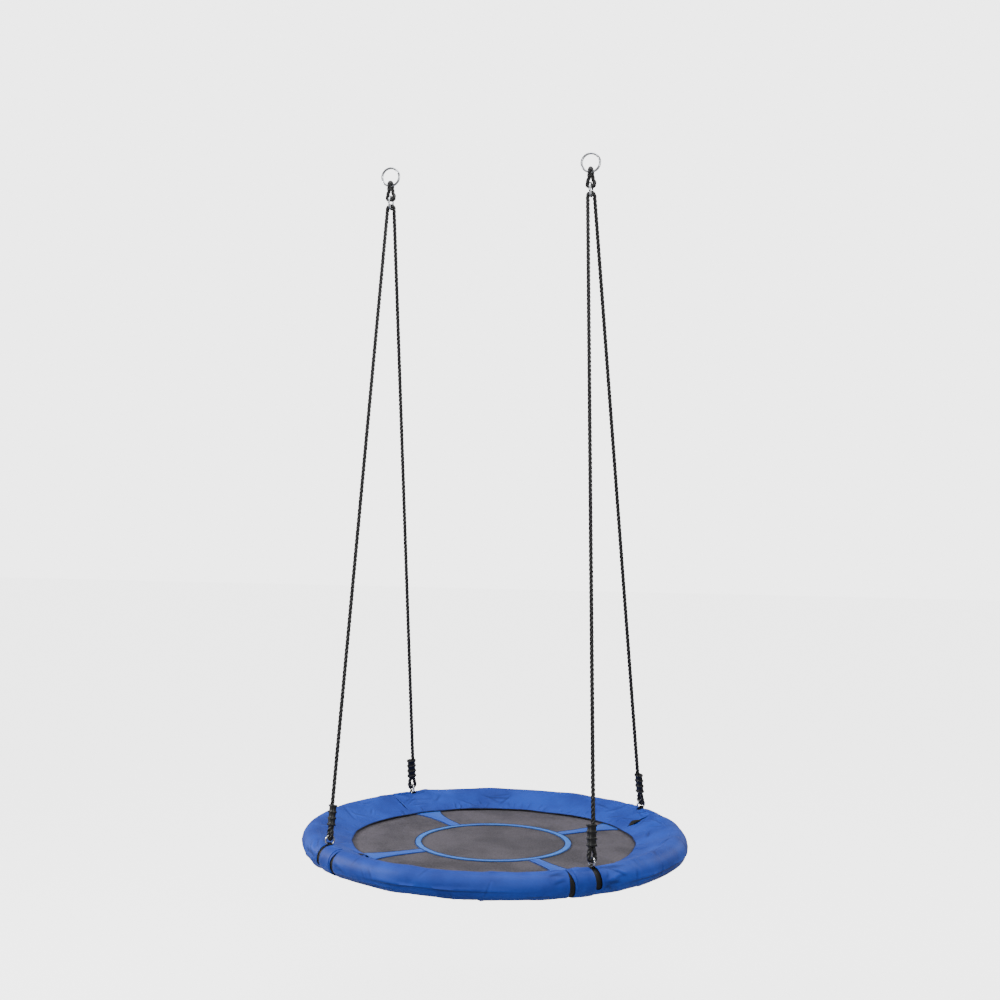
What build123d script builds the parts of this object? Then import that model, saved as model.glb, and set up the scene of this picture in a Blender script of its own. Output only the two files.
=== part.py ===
from build123d import *
import math
import os

os.makedirs("parts", exist_ok=True)

# Saucer nest swing, in millimetres, +Z up.
# X runs from the left hanging point to the right one, and the front of the seat is at -Y.
# The origin is midway between the two places where hooks bear on the top rings.

# ---- driving dimensions ----
rim_radius = 469  # centre of the rim's tube
pad_radius = 31  # outside of the padded rim
rim_z = -1780  # height of the rim's centre plane
hang_half = 273  # each hanging point's distance from the middle
foot_angle = 45  # direction of the right back strap

ring_radius = 24  # centreline of the top rings
lower_radius = 17  # centreline of the lower rings
ring_wire = 3  # radius of both rings' wire
ring_gap = 29  # between the wires that a sling joins

rope_radius = 4.5
rope_bend = 8.4  # the rope's centreline round a ring's wire
leg_spread = 8.6  # half the run over the lower ring
sling_bend = 8.8
sling_half = 12.5
sling_reach = 9  # from a ring's wire to the sling's centreline beyond it
splice_gap = 0.6

tube_radius = 16
tube_wall = 1.5
swage_length = 36
swage_play = 0.3
joint_gap = 0.5
foam_inner = 16.4
foam_outer = 29
cover_inner = 29.2

strap_inner = 25
strap_outer = 27
strap_width = 20.5
groove_play = 0.8
loop_hole = 5.2  # radius of the strap's loop, round the rim ring's wire
loop_wall = 2
loop_depth = 8
slit_width = 24
slit_start = 455  # radii that the slit in the cover runs between
slit_stop = 510
slit_low = -14  # how far below the rim's centre it reaches

small_radius = 11.5  # centreline of the rim rings
small_wire = 2.25
eye_half = 8.6  # half the width of the rope's eye
eye_side = 15  # height of the eye's parallel sides
eye_top = 27  # where its two parts come together
cuff_start = 33  # from the bottom of the eye to the cuff
cuff_height = 51
cuff_body = (22.6, 14.6)
cuff_rib = (27.4, 18.6)
cuff_corner = 1
rib_count = 4
rib_height = 5
pair_half = 4.7  # half the distance between the rope's two parts in a cuff
bore_play = 0.3
tail_short = 5  # the tail ends this far below the cuff's top

mat_radius = 438
mat_top = -8.3
mat_thickness = 3
band_thickness = 1.2
play = 0.2  # between sewn layers
centre_inner = 186
centre_outer = 206
spoke_width = 40
spoke_flare = 64
spoke_end = 377
skirt_radius = 371
skirt_edge = -4.6
skirt_thickness = 1.8
piping_radius = 1.4
piping_drop = 0.6
seam_offset = 8.5  # degrees from a strap to the cover's open seam
seam_gap = 5
slot_start = 442  # the seam is open from this radius outwards
binding_outer = 31.5
band_top = 105  # degrees round the rim's section, from its outside, that bands cover
band_bottom = -145
tab_inner = 31.2
tab_outer = 32.4
tab_gap = 1.5

bolt_radius = 3
bolt_head = 5.5
bolt_head_height = 3
bolt_tip = 1
nut_height = 5
bolt_play = 0.2
pocket_radius = 8

# ---- derived places ----
top_ring_z = -ring_radius + ring_wire
swing_z = top_ring_z - ring_radius
sway_z = swing_z - ring_gap
loop_z = rim_z + strap_outer + loop_hole
strap_half_angle = math.degrees(strap_width / 2 / rim_radius)
groove_half_angle = math.degrees((strap_width / 2 + groove_play) / rim_radius)
sides = {"left": -1, "right": 1}
ends = {"front": -1, "back": 1}


def foot_direction(side, end):
    """Angle of a hanging strap, in degrees."""
    return math.degrees(
        math.atan2(
            ends[end] * math.sin(math.radians(foot_angle)),
            sides[side] * math.cos(math.radians(foot_angle)),
        )
    )


def seam_direction(side, end):
    """Angle of the cover's open seam beside a strap."""
    return foot_direction(side, end) - sides[side] * seam_offset


def radial_plane(angle):
    """A plane through Z: its x points out, its y up, and its origin is at the rim's height."""
    a = math.radians(angle)
    out = (math.cos(a), math.sin(a), 0)
    return Plane(origin=(0, 0, rim_z), x_dir=out, z_dir=(math.sin(a), -math.cos(a), 0))


def polar_point(radius, angle, height):
    a = math.radians(angle)
    return Vector(radius * math.cos(a), radius * math.sin(a), height)


def leg_frame(side, end):
    """The rim ring's centre, and a rope leg's directions: across its eye, through it, and up."""
    angle = foot_direction(side, end)
    loop = polar_point(rim_radius, angle, loop_z)
    bight_x = sides[side] * hang_half + ends[end] * leg_spread
    over = Vector(bight_x, 0, sway_z - 2 * lower_radius + rope_bend)
    up = (over - loop).normalized()
    along = polar_point(1, angle + 90, 0)
    through = up.cross(along).normalized()
    across = through.cross(up)
    return loop + up * small_radius, across, through, up


def corner_radii(points, tight):
    """Radius of each corner: the ring's where the rope is tight, and else as large as the runs allow."""
    radii = []
    for i in range(1, len(points) - 1):
        before = points[i] - points[i - 1]
        after = points[i + 1] - points[i]
        half_turn = math.radians(before.get_angle(after) / 2)
        if i in tight:
            radii.append(tight[i])
        else:
            radii.append(0.45 * min(before.length, after.length) / math.tan(half_turn))
    return radii


def eye_points(side, end):
    """Route through a cuff and round a rim ring, from the tail's end to the standing part."""
    centre, across, through, up = leg_frame(side, end)
    bottom = centre + up * (small_radius - rope_bend)
    tail_top = cuff_start + cuff_height - tail_short
    s = -sides[side]  # the tail lies towards this side of the eye
    return [
        bottom + across * (s * pair_half) + up * tail_top,
        bottom + across * (s * pair_half) + up * eye_top,
        bottom + across * (s * eye_half) + up * eye_side,
        bottom + across * (s * eye_half),
        bottom - across * (s * eye_half),
        bottom - across * (s * eye_half) + up * eye_side,
        bottom - across * (s * pair_half) + up * eye_top,
    ]


def finish(part, name):
    part.label = name
    export_step(part, f"parts/{name}.step")


# ---- hanging rings ----
for side, sign in sides.items():
    with BuildPart() as top_ring:
        with Locations(Location((sign * hang_half, 0, top_ring_z), (90, 0, 0))):
            Torus(ring_radius, ring_wire)
    finish(top_ring.part, f"top_ring_{side}")

    with BuildPart() as lower_ring:
        with Locations(Location((sign * hang_half, 0, sway_z - lower_radius), (0, 90, 0))):
            Torus(lower_radius, ring_wire)
    finish(lower_ring.part, f"lower_ring_{side}")

# ---- slings: a loop of rope over the top ring's wire and under the lower ring's ----
for side, sign in sides.items():
    x = sign * hang_half
    high = swing_z + sling_reach
    low = sway_z - sling_reach
    corners = [
        Vector(x, sling_half, high),
        Vector(x, -sling_half, high),
        Vector(x - sling_half, 0, low),
        Vector(x + sling_half, 0, low),
    ]
    back = (corners[0] - corners[3]).normalized()
    middle = (corners[0] + corners[3]) / 2
    route = [middle + back * (splice_gap / 2), *corners, middle - back * (splice_gap / 2)]
    with BuildPart() as sling:
        with BuildLine() as sling_line:
            FilletPolyline(*route, radius=sling_bend)
        with BuildSketch(Plane(sling_line.line @ 0, z_dir=sling_line.line % 0)):
            Circle(rope_radius)
        sweep()
    finish(sling.part, f"sling_{side}")

# ---- ropes: one a side, with an eye at each end and its middle over the lower ring ----
for side, sign in sides.items():
    x = sign * hang_half
    bight_z = sway_z - 2 * lower_radius + rope_bend
    front = eye_points(side, "front")
    rear = eye_points(side, "back")
    over = [
        Vector(x - leg_spread, 0, bight_z),
        Vector(x + leg_spread, 0, bight_z),
    ]
    route = [*front, *over, *reversed(rear)]
    last = len(route) - 1
    tight_corners = [3, 4, 7, 8, last - 4, last - 3]
    radii = corner_radii(route, dict.fromkeys(tight_corners, rope_bend))
    with BuildPart() as rope:
        with BuildLine() as rope_line:
            FilletPolyline(*route, radius=radii)
        with BuildSketch(Plane(rope_line.line @ 0, z_dir=rope_line.line % 0)):
            Circle(rope_radius)
        sweep()
    finish(rope.part, f"rope_{side}")
    length = rope_line.wire().length
    tube_volume = length * math.pi * rope_radius**2
    print(f"rope_{side}: length {length:.1f} mm, volume ratio {rope.part.volume / tube_volume:.4f}")
    print("  radii", [round(r, 1) for r in radii])

# ---- cuffs, rim rings and straps at the four feet ----
for side, sign in sides.items():
    for end in ends:
        centre, across, through, up = leg_frame(side, end)
        bottom = centre + up * (small_radius - rope_bend)
        angle = foot_direction(side, end)
        rib_step = (cuff_height - rib_height) / (rib_count - 1)
        seat = Plane(bottom + up * cuff_start, x_dir=across, z_dir=up)
        tail_bore = cuff_height - tail_short

        with BuildPart() as cuff:
            with BuildSketch(seat):
                SlotOverall(*cuff_body)
            extrude(amount=cuff_height)
            for i in range(rib_count):
                with BuildSketch(seat.offset(i * rib_step)):
                    SlotOverall(*cuff_rib)
                extrude(amount=rib_height)
            rib_edges = cuff.edges().filter_by(GeomType.CIRCLE).sort_by(SortBy.RADIUS)
            chamfer(rib_edges[-4 * rib_count :], cuff_corner)
            with BuildSketch(seat):
                SlotOverall(2 * (pair_half + rope_radius + bore_play), 2 * (rope_radius + bore_play))
            extrude(amount=tail_bore, mode=Mode.SUBTRACT)
            with BuildSketch(seat):
                with Locations((sign * pair_half, 0)):
                    Circle(rope_radius + bore_play)
            extrude(amount=cuff_height, mode=Mode.SUBTRACT)
        finish(cuff.part, f"rope_cuff_{side}_{end}")

        with BuildPart() as rim_ring:
            with BuildSketch(Plane(centre - up * small_radius, x_dir=across, z_dir=through)):
                Circle(small_wire)
            revolve(axis=Axis(centre, across))
        finish(rim_ring.part, f"rim_ring_{side}_{end}")

        strap_plane = radial_plane(angle - strap_half_angle)
        loop_plane = Plane(
            polar_point(rim_radius, angle, loop_z),
            x_dir=polar_point(1, angle + 90, 0),
            z_dir=polar_point(1, angle, 0),
        )
        with BuildPart() as strap:
            with BuildSketch(strap_plane):
                with Locations((rim_radius, 0)):
                    Circle(strap_outer)
                    Circle(strap_inner, mode=Mode.SUBTRACT)
            revolve(axis=Axis.Z, revolution_arc=2 * strap_half_angle)
            with BuildSketch(loop_plane):
                Circle(loop_hole + loop_wall)
                with Locations((0, strap_inner + play - loop_hole - strap_outer)):
                    Rectangle(2 * (loop_hole + loop_wall), loop_hole, align=(Align.CENTER, Align.MIN))
                Circle(loop_hole, mode=Mode.SUBTRACT)
            extrude(amount=loop_depth / 2, both=True)
        finish(strap.part, f"hang_strap_{side}_{end}")

# ---- steel hoop: four quarters, each with a swaged end inside the next ----
swage_outer = tube_radius - tube_wall - swage_play
swage_inner = swage_outer - tube_wall
swage_angle = math.degrees(swage_length / rim_radius)
shoulder_angle = swage_angle / 12
gap_angle = math.degrees(joint_gap / rim_radius)
joint_angles = [0, 90, 180, 270]


def bolt_place(angle):
    return polar_point(rim_radius, angle + swage_angle / 2, rim_z)


for number, angle in enumerate(joint_angles, 1):
    after = angle + 90
    with BuildPart() as frame_tube:
        with BuildSketch(radial_plane(angle + gap_angle)):
            with Locations((rim_radius, 0)):
                Circle(tube_radius)
                Circle(tube_radius - tube_wall, mode=Mode.SUBTRACT)
        revolve(axis=Axis.Z, revolution_arc=90 - gap_angle)
        with BuildSketch(radial_plane(after - shoulder_angle)):
            with Locations((rim_radius, 0)):
                Circle(tube_radius - tube_wall / 2)
                Circle(swage_inner, mode=Mode.SUBTRACT)
        revolve(axis=Axis.Z, revolution_arc=shoulder_angle)
        with BuildSketch(radial_plane(after - shoulder_angle)):
            with Locations((rim_radius, 0)):
                Circle(swage_outer)
                Circle(swage_inner, mode=Mode.SUBTRACT)
        revolve(axis=Axis.Z, revolution_arc=swage_angle + shoulder_angle)
        with Locations(bolt_place(angle), bolt_place(after)):
            Cylinder(bolt_radius + bolt_play, 3 * tube_radius, mode=Mode.SUBTRACT)
    finish(frame_tube.part, f"frame_tube_{number}")

    with BuildPart() as foam:
        with BuildSketch(radial_plane(angle + gap_angle)):
            with Locations((rim_radius, 0)):
                Circle(foam_outer)
                Circle(foam_inner, mode=Mode.SUBTRACT)
        revolve(axis=Axis.Z, revolution_arc=90 - 2 * gap_angle)
        with Locations(bolt_place(angle)):
            Cylinder(pocket_radius, 3 * tube_radius, mode=Mode.SUBTRACT)
        with BuildSketch(radial_plane(angle + foot_angle - groove_half_angle)):
            with Locations((rim_radius, 0)):
                Circle(foam_outer + 1)
                Circle(strap_inner - play, mode=Mode.SUBTRACT)
        revolve(axis=Axis.Z, revolution_arc=2 * groove_half_angle, mode=Mode.SUBTRACT)
    finish(foam.part, f"foam_sleeve_{number}")

bolt_spots = [bolt_place(angle) for angle in joint_angles]
with BuildPart() as bolts:
    with BuildSketch(Plane.XY.offset(rim_z + tube_radius)):
        with Locations(*[(p.X, p.Y) for p in bolt_spots]):
            Circle(bolt_radius)
    extrude(amount=-(2 * tube_radius + nut_height + bolt_tip))
    with BuildSketch(Plane.XY.offset(rim_z + tube_radius)):
        with Locations(*[(p.X, p.Y) for p in bolt_spots]):
            Circle(bolt_head)
    extrude(amount=bolt_head_height)
finish(bolts.part, "frame_bolts")

with BuildPart() as nuts:
    with BuildSketch(Plane.XY.offset(rim_z - tube_radius)):
        with Locations(*[(p.X, p.Y) for p in bolt_spots]):
            RegularPolygon(bolt_head, 6)
            Circle(bolt_radius, mode=Mode.SUBTRACT)
    extrude(amount=-nut_height)
finish(nuts.part, "frame_nuts")

# ---- rim cover: four panels, each a sleeve round the foam and a skirt down to the mat ----
across_gap = rim_radius - skirt_radius
edge_slope = math.atan2(-skirt_edge, across_gap)
skirt_slope = math.asin(pad_radius / math.hypot(across_gap, skirt_edge)) + edge_slope
touch = (rim_radius - pad_radius * math.sin(skirt_slope), pad_radius * math.cos(skirt_slope))
inward = (skirt_thickness * math.sin(skirt_slope), -skirt_thickness * math.cos(skirt_slope))

seams = [
    ("front", seam_direction("left", "front"), seam_direction("right", "front")),
    ("right", seam_direction("right", "front"), seam_direction("right", "back")),
    ("back", seam_direction("right", "back"), seam_direction("left", "back")),
    ("left", seam_direction("left", "back"), seam_direction("left", "front")),
]
hair_angle = math.degrees(joint_gap / rim_radius)
for name, start, stop in seams:
    reach = (stop - start) % 360
    panel_straps = [
        foot_direction(side, end)
        for side in sides
        for end in ends
        if (foot_direction(side, end) - start) % 360 < reach
    ]
    with BuildPart() as panel:
        with BuildSketch(radial_plane(start + hair_angle / 2)):
            with Locations((rim_radius, 0)):
                Circle(pad_radius)
            with BuildLine():
                Polyline(
                    (skirt_radius, skirt_edge),
                    touch,
                    (touch[0] + inward[0], touch[1] + inward[1]),
                    (skirt_radius + inward[0], skirt_edge + inward[1]),
                    close=True,
                )
            make_face()
            with Locations((rim_radius, 0)):
                Circle(cover_inner, mode=Mode.SUBTRACT)
        revolve(axis=Axis.Z, revolution_arc=reach - hair_angle)
        for angle in panel_straps:
            slit = polar_point((slit_start + slit_stop) / 2, angle, 0)
            with BuildSketch(Plane.XY.offset(rim_z + slit_low)):
                with Locations((slit.X, slit.Y)):
                    Rectangle(slit_stop - slit_start, slit_width, rotation=angle)
            extrude(amount=2 * pad_radius, mode=Mode.SUBTRACT)
        for angle in (start, stop):
            slot = polar_point((slot_start + slit_stop) / 2, angle, 0)
            with BuildSketch(Plane.XY.offset(rim_z - 2 * pad_radius)):
                with Locations((slot.X, slot.Y)):
                    Rectangle(slit_stop - slot_start, seam_gap, rotation=angle)
            extrude(amount=4 * pad_radius, mode=Mode.SUBTRACT)
    finish(panel.part, f"cover_panel_{name}")


def band_round_rim(inner, outer, start, reach):
    """A band round the rim's outside, from its top to its underside, that clears the skirt and the mat."""
    arc = band_top - band_bottom
    with BuildPart() as band:
        with BuildSketch(radial_plane(start)):
            with BuildLine():
                inside = CenterArc((rim_radius, 0), inner, band_bottom, arc)
                outside = CenterArc((rim_radius, 0), outer, band_bottom, arc)
                Line(inside @ 0, outside @ 0)
                Line(inside @ 1, outside @ 1)
            make_face()
        revolve(axis=Axis.Z, revolution_arc=reach)
    return band.part


seam_half = math.degrees((seam_gap / 2 - play) / rim_radius)
tab_near = math.degrees((slit_width / 2 + tab_gap) / rim_radius)
tab_far = seam_offset - math.degrees((seam_gap / 2 + tab_gap) / rim_radius)
for side, sign in sides.items():
    for end in ends:
        seam = seam_direction(side, end)
        binding = band_round_rim(cover_inner + play, binding_outer, seam - seam_half, 2 * seam_half)
        finish(binding, f"seam_binding_{side}_{end}")
        nearest = foot_direction(side, end) + (tab_near if sign < 0 else -tab_far)
        tab = band_round_rim(tab_inner, tab_outer, nearest, tab_far - tab_near)
        finish(tab, f"strap_tab_{side}_{end}")

# ---- seat: mat, centre ring, spokes and the skirt's piping ----
with BuildPart() as mat:
    with BuildSketch(Plane.XY.offset(rim_z + mat_top)):
        Circle(mat_radius)
    extrude(amount=-mat_thickness)
finish(mat.part, "seat_mat")

with BuildPart() as centre_ring:
    with BuildSketch(Plane.XY.offset(rim_z + mat_top + play)):
        Circle(centre_outer)
        Circle(centre_inner, mode=Mode.SUBTRACT)
    extrude(amount=band_thickness)
finish(centre_ring.part, "centre_ring")

for side in sides:
    for end in ends:
        angle = foot_direction(side, end)
        out = polar_point(1, angle, 0)
        with BuildPart() as spoke:
            with BuildSketch(Plane((0, 0, rim_z + mat_top + play), x_dir=out, z_dir=(0, 0, 1))):
                with BuildLine():
                    Polyline(
                        (centre_outer + play, -spoke_width / 2),
                        (spoke_end, -spoke_flare / 2),
                        (spoke_end, spoke_flare / 2),
                        (centre_outer + play, spoke_width / 2),
                        close=True,
                    )
                make_face()
            extrude(amount=band_thickness)
        finish(spoke.part, f"spoke_{side}_{end}")

with BuildPart() as piping:
    with Locations((0, 0, rim_z + skirt_edge - piping_drop)):
        Torus(skirt_radius - piping_radius - play, piping_radius)
finish(piping.part, "skirt_piping")
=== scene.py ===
import math

import bpy
import numpy as np
from mathutils import Matrix, Vector


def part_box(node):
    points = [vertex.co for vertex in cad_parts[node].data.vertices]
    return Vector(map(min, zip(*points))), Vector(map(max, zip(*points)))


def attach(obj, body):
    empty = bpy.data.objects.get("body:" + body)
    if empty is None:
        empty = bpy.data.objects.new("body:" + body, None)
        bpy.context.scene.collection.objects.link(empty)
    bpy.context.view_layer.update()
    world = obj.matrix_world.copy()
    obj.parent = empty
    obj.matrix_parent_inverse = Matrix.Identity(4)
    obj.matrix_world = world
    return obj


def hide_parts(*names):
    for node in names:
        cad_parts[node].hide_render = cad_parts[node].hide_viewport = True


bl_info = {
    "name": "Saucer Nest Swing",
    "version": (1, 0, 0),
    "blender": (4, 5, 0),
    "location": "View3D > Sidebar > Swing",
    "description": "Dresses the frame of a saucer nest swing: rings, ropes, cuffs, cover, seat and stage",
    "category": "Object",
}

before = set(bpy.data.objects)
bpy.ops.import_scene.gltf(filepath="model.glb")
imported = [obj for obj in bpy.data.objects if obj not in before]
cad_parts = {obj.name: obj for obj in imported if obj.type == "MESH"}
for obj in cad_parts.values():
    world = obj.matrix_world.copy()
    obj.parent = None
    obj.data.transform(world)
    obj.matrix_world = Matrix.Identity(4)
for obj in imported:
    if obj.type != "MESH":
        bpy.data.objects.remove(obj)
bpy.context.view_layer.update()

SIDES = {"left": -1, "right": 1}
ENDS = {"front": -1, "back": 1}
FEET = [(side, end) for side in SIDES for end in ENDS]
TURN = 2 * math.pi
MM = 0.001


# ---- places read from the frame ----
def box_middle(node):
    low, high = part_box(node)
    return (low + high) / 2


def box_size(node):
    low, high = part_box(node)
    return high - low


HANG_HALF = box_middle("top_ring_right").x
RING_WIRE = box_size("top_ring_right").y / 2
RING_RADIUS = box_size("top_ring_right").x / 2 - RING_WIRE
TOP_RING_Z = box_middle("top_ring_right").z
LOWER_RING_Z = box_middle("lower_ring_right").z
LOWER_RADIUS = box_size("lower_ring_right").z / 2 - RING_WIRE
TUBE_RADIUS = box_size("frame_tube_1").z / 2
RIM_Z = box_middle("frame_tube_1").z
RIM_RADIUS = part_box("frame_tube_1")[1].x - TUBE_RADIUS
PAD_RADIUS = box_size("cover_panel_back").z / 2
MAT_RADIUS = box_size("seat_mat").x / 2
MAT_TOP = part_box("seat_mat")[1].z
MAT_DEPTH = box_size("seat_mat").z
CENTRE_OUTER = box_size("centre_ring").x / 2
BAND_DEPTH = box_size("centre_ring").z
SKIRT_RADIUS = box_size("skirt_piping").x / 2
PIPING_Z = box_middle("skirt_piping").z

# Sizes of the rope's route, which repeat the CAD's in metres.
FOOT_ANGLE = math.radians(45)
LOOP_RISE = 32.2 * MM  # from the rim's centre to the strap's loop
SMALL_RADIUS = 11.5 * MM  # rim ring's centreline
SMALL_WIRE = 2.25 * MM
ROPE_BEND = 8.4 * MM
LEG_SPREAD = 8.6 * MM
SLING_HALF = 12.5 * MM
SLING_REACH = 9 * MM
SLING_PINCH = 4.2 * MM  # from the sling's middle to each run, across and through
SLING_PINCH_HEIGHT = 1 * MM  # half the height over which the sling's runs lie side by side
SLING_LAYS = 3  # turns of the lay in the whole loop, so that its ends match
SLING_STEP = 1 * MM
ROUTE_STEP = 1.5 * MM
LOOP_WIDTH = 9 * MM
STRAP_CLEAR = 28.2 * MM  # webbing's centreline from the hoop's
THREAD = 0.75 * MM
FLOOR_DROP = 0.52  # the swing hangs this far above the floor
FLOOR_HALF = 14.0
TAPE_HIDDEN = 9 * MM  # the seam tape runs this much on under the cloth
TAPE_BULGE = 7.5 * MM  # and buckles this far out of the skirt
SLIT_ABOVE = 2.4 * MM  # the slit starts this far up the skirt
EYE_HALF = 8.6 * MM
EYE_SIDE = 15 * MM
EYE_TOP = 27 * MM
PAIR_HALF = 4.7 * MM
CUFF_START = 33 * MM
CUFF_HEIGHT = 51 * MM
TAIL_SHORT = 5 * MM
SKIRT_EDGE = -4.6 * MM
SLIT_HALF = 8 * MM
SLIT_TOP = math.radians(116)  # the slit runs between these places on the rim's section
SLIT_LOW = math.radians(-29)
SEAM_OFFSET = math.radians(8.5)


def foot_direction(side, end):
    return math.atan2(ENDS[end] * math.sin(FOOT_ANGLE), SIDES[side] * math.cos(FOOT_ANGLE))


def seam_direction(side, end):
    """Angle of the cover's open seam beside a strap."""
    return foot_direction(side, end) - SIDES[side] * SEAM_OFFSET


def polar(radius, angle, height):
    return Vector((radius * math.cos(angle), radius * math.sin(angle), height))


def leg_frame(side, end):
    """The bottom of a rope's eye, and its directions: across, through and up."""
    angle = foot_direction(side, end)
    loop = polar(RIM_RADIUS, angle, RIM_Z + LOOP_RISE)
    bight_x = SIDES[side] * HANG_HALF + ENDS[end] * LEG_SPREAD
    bight_z = LOWER_RING_Z - LOWER_RADIUS + ROPE_BEND
    up = (Vector((bight_x, 0, bight_z)) - loop).normalized()
    through = up.cross(polar(1, angle + TURN / 4, 0)).normalized()
    across = through.cross(up)
    return loop + up * (2 * SMALL_RADIUS - ROPE_BEND), across, through, up


# ---- sizes and colours that a user would change ----
def length_of(name, description, default):
    return bpy.props.FloatProperty(
        name=name,
        description=description,
        default=default,
        min=0,
        unit="LENGTH",
        subtype="DISTANCE",
        precision=4,
    )


def linear(code):
    """Linear RGB of an sRGB hex colour."""
    channels = [int(code[i : i + 2], 16) / 255 for i in (1, 3, 5)]
    return [c / 12.92 if c <= 0.04045 else ((c + 0.055) / 1.055) ** 2.4 for c in channels]


def colour_of(name, description, code):
    return bpy.props.FloatVectorProperty(
        name=name, description=description, default=linear(code), min=0, max=1, size=3, subtype="COLOR"
    )


class SwingSizes(bpy.types.PropertyGroup):
    rope_diameter: length_of("Rope diameter", "Across the laid rope", 11 * MM)
    rope_lay: length_of("Rope lay", "Length in which a strand turns once round the rope", 34 * MM)
    cover_thickness: length_of("Cover thickness", "Thickness of the coated cloth and its lining", 1.0 * MM)
    wrinkle_height: length_of("Wrinkle height", "How far a strong fold in the cover stands up", 3.6 * MM)
    strap_width: length_of("Strap width", "Width of the webbing round the rim", 20.5 * MM)
    strap_thickness: length_of("Strap thickness", "Thickness of the webbing", 1.8 * MM)
    seam_opening: length_of("Seam opening", "Widest part of the cover's open seams", 15 * MM)
    mat_sag: length_of("Mat sag", "How far the middle of the mat lies below its edge", 3 * MM)
    ring_band: length_of("Ring band", "Width of the band that makes the seat's ring", 20 * MM)
    spoke_width: length_of("Spoke width", "Width of a spoke beside the ring", 34 * MM)
    spoke_flare: length_of("Spoke flare", "Width of a spoke under the skirt", 88 * MM)
    edge_width: length_of("Edge tape", "Width of the dark tape on the bands' edges", 3 * MM)
    stitch: length_of("Stitch", "Length of one stitch", 3.2 * MM)
    stitch_pitch: length_of("Stitch pitch", "From one stitch to the next", 4.6 * MM)


class SwingColours(bpy.types.PropertyGroup):
    cover: colour_of("Cover", "Cloth of the rim's cover", "#1A4ABC")
    cover_shade: colour_of("Cover shade", "Darker drift in the cover's colour", "#12379A")
    tab: colour_of("Tab", "Cloth patches beside the straps", "#1D4EC2")
    ring_band: colour_of("Ring band", "Band that makes the seat's ring", "#3D88E2")
    spoke: colour_of("Spoke", "The seat's four spokes", "#2F67CE")
    edge: colour_of("Edge tape", "Tape on the bands' and skirt's edges", "#1B2A5C")
    mat: colour_of("Mat", "The seat's cloth", "#57525A")
    mat_shade: colour_of("Mat shade", "Darker flecks in the seat's cloth", "#38353B")
    webbing: colour_of("Webbing", "Straps and seam tape", "#0A0A0C")
    rope: colour_of("Rope", "Laid rope", "#0B0B0D")
    cuff: colour_of("Cuff", "Moulded cuffs on the ropes", "#101113")
    zinc: colour_of("Zinc", "Plating of the rings and bolts", "#C9CCD0")
    steel: colour_of("Tube", "Galvanised tube", "#9EA3A8")
    foam: colour_of("Foam", "Foam round the tube", "#8F9296")
    floor: colour_of("Floor", "Studio floor", "#F4F4F4")


# ---- node trees ----
def add(tree, kind, inputs=(), **settings):
    """Adds a node with its settings; inputs are values or other nodes' outputs."""
    node = tree.nodes.new(kind)
    for key, value in settings.items():
        setattr(node, key, value)
    for key, value in dict(inputs).items():
        if isinstance(value, bpy.types.NodeSocket):
            tree.links.new(value, node.inputs[key])
        else:
            node.inputs[key].default_value = value
    return node


def blank(name):
    """A material with nothing but its output and a shader."""
    material = bpy.data.materials.new(name)
    material.use_nodes = True
    tree = material.node_tree
    tree.nodes.clear()
    shader = add(tree, "ShaderNodeBsdfPrincipled")
    add(tree, "ShaderNodeOutputMaterial", {"Surface": shader.outputs[0]})
    return material, tree, shader


def rgba(colour, lighter=1.0):
    return [min(1, c * lighter) for c in colour] + [1]


def spread(tree, value, low, high, start=0.3, stop=0.7):
    """A value that goes from low to high while the given one goes from start to stop."""
    return add(tree, "ShaderNodeMapRange", {0: value, 1: start, 2: stop, 3: low, 4: high}).outputs[0]


def finish_with(tree, shader, colour, roughness, bump):
    """Wires what every finish here varies: its colour, its polish and its relief."""
    tree.links.new(colour, shader.inputs["Base Color"])
    tree.links.new(roughness, shader.inputs["Roughness"])
    tree.links.new(bump.outputs[0], shader.inputs["Normal"])


def wave_scale(period):
    """Scale at which a wave texture repeats once in this length."""
    return TURN / 20 / period


def drift(tree, where, low, high, size, contrast=0.2, detail=4.0):
    """Two shades that fade into each other in patches of this size."""
    patches = add(
        tree, "ShaderNodeTexNoise", {"Vector": where, "Scale": 1 / size, "Detail": detail, "Roughness": 0.55}
    )
    spread = add(
        tree,
        "ShaderNodeMapRange",
        {0: patches.outputs[0], 1: 0.5 - contrast, 2: 0.5 + contrast, 3: 0.0, 4: 1.0},
        interpolation_type="SMOOTHSTEP",
    )
    return add(
        tree, "ShaderNodeMix", {0: spread.outputs[0], 6: low, 7: high}, data_type="RGBA"
    ).outputs[2]


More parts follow.
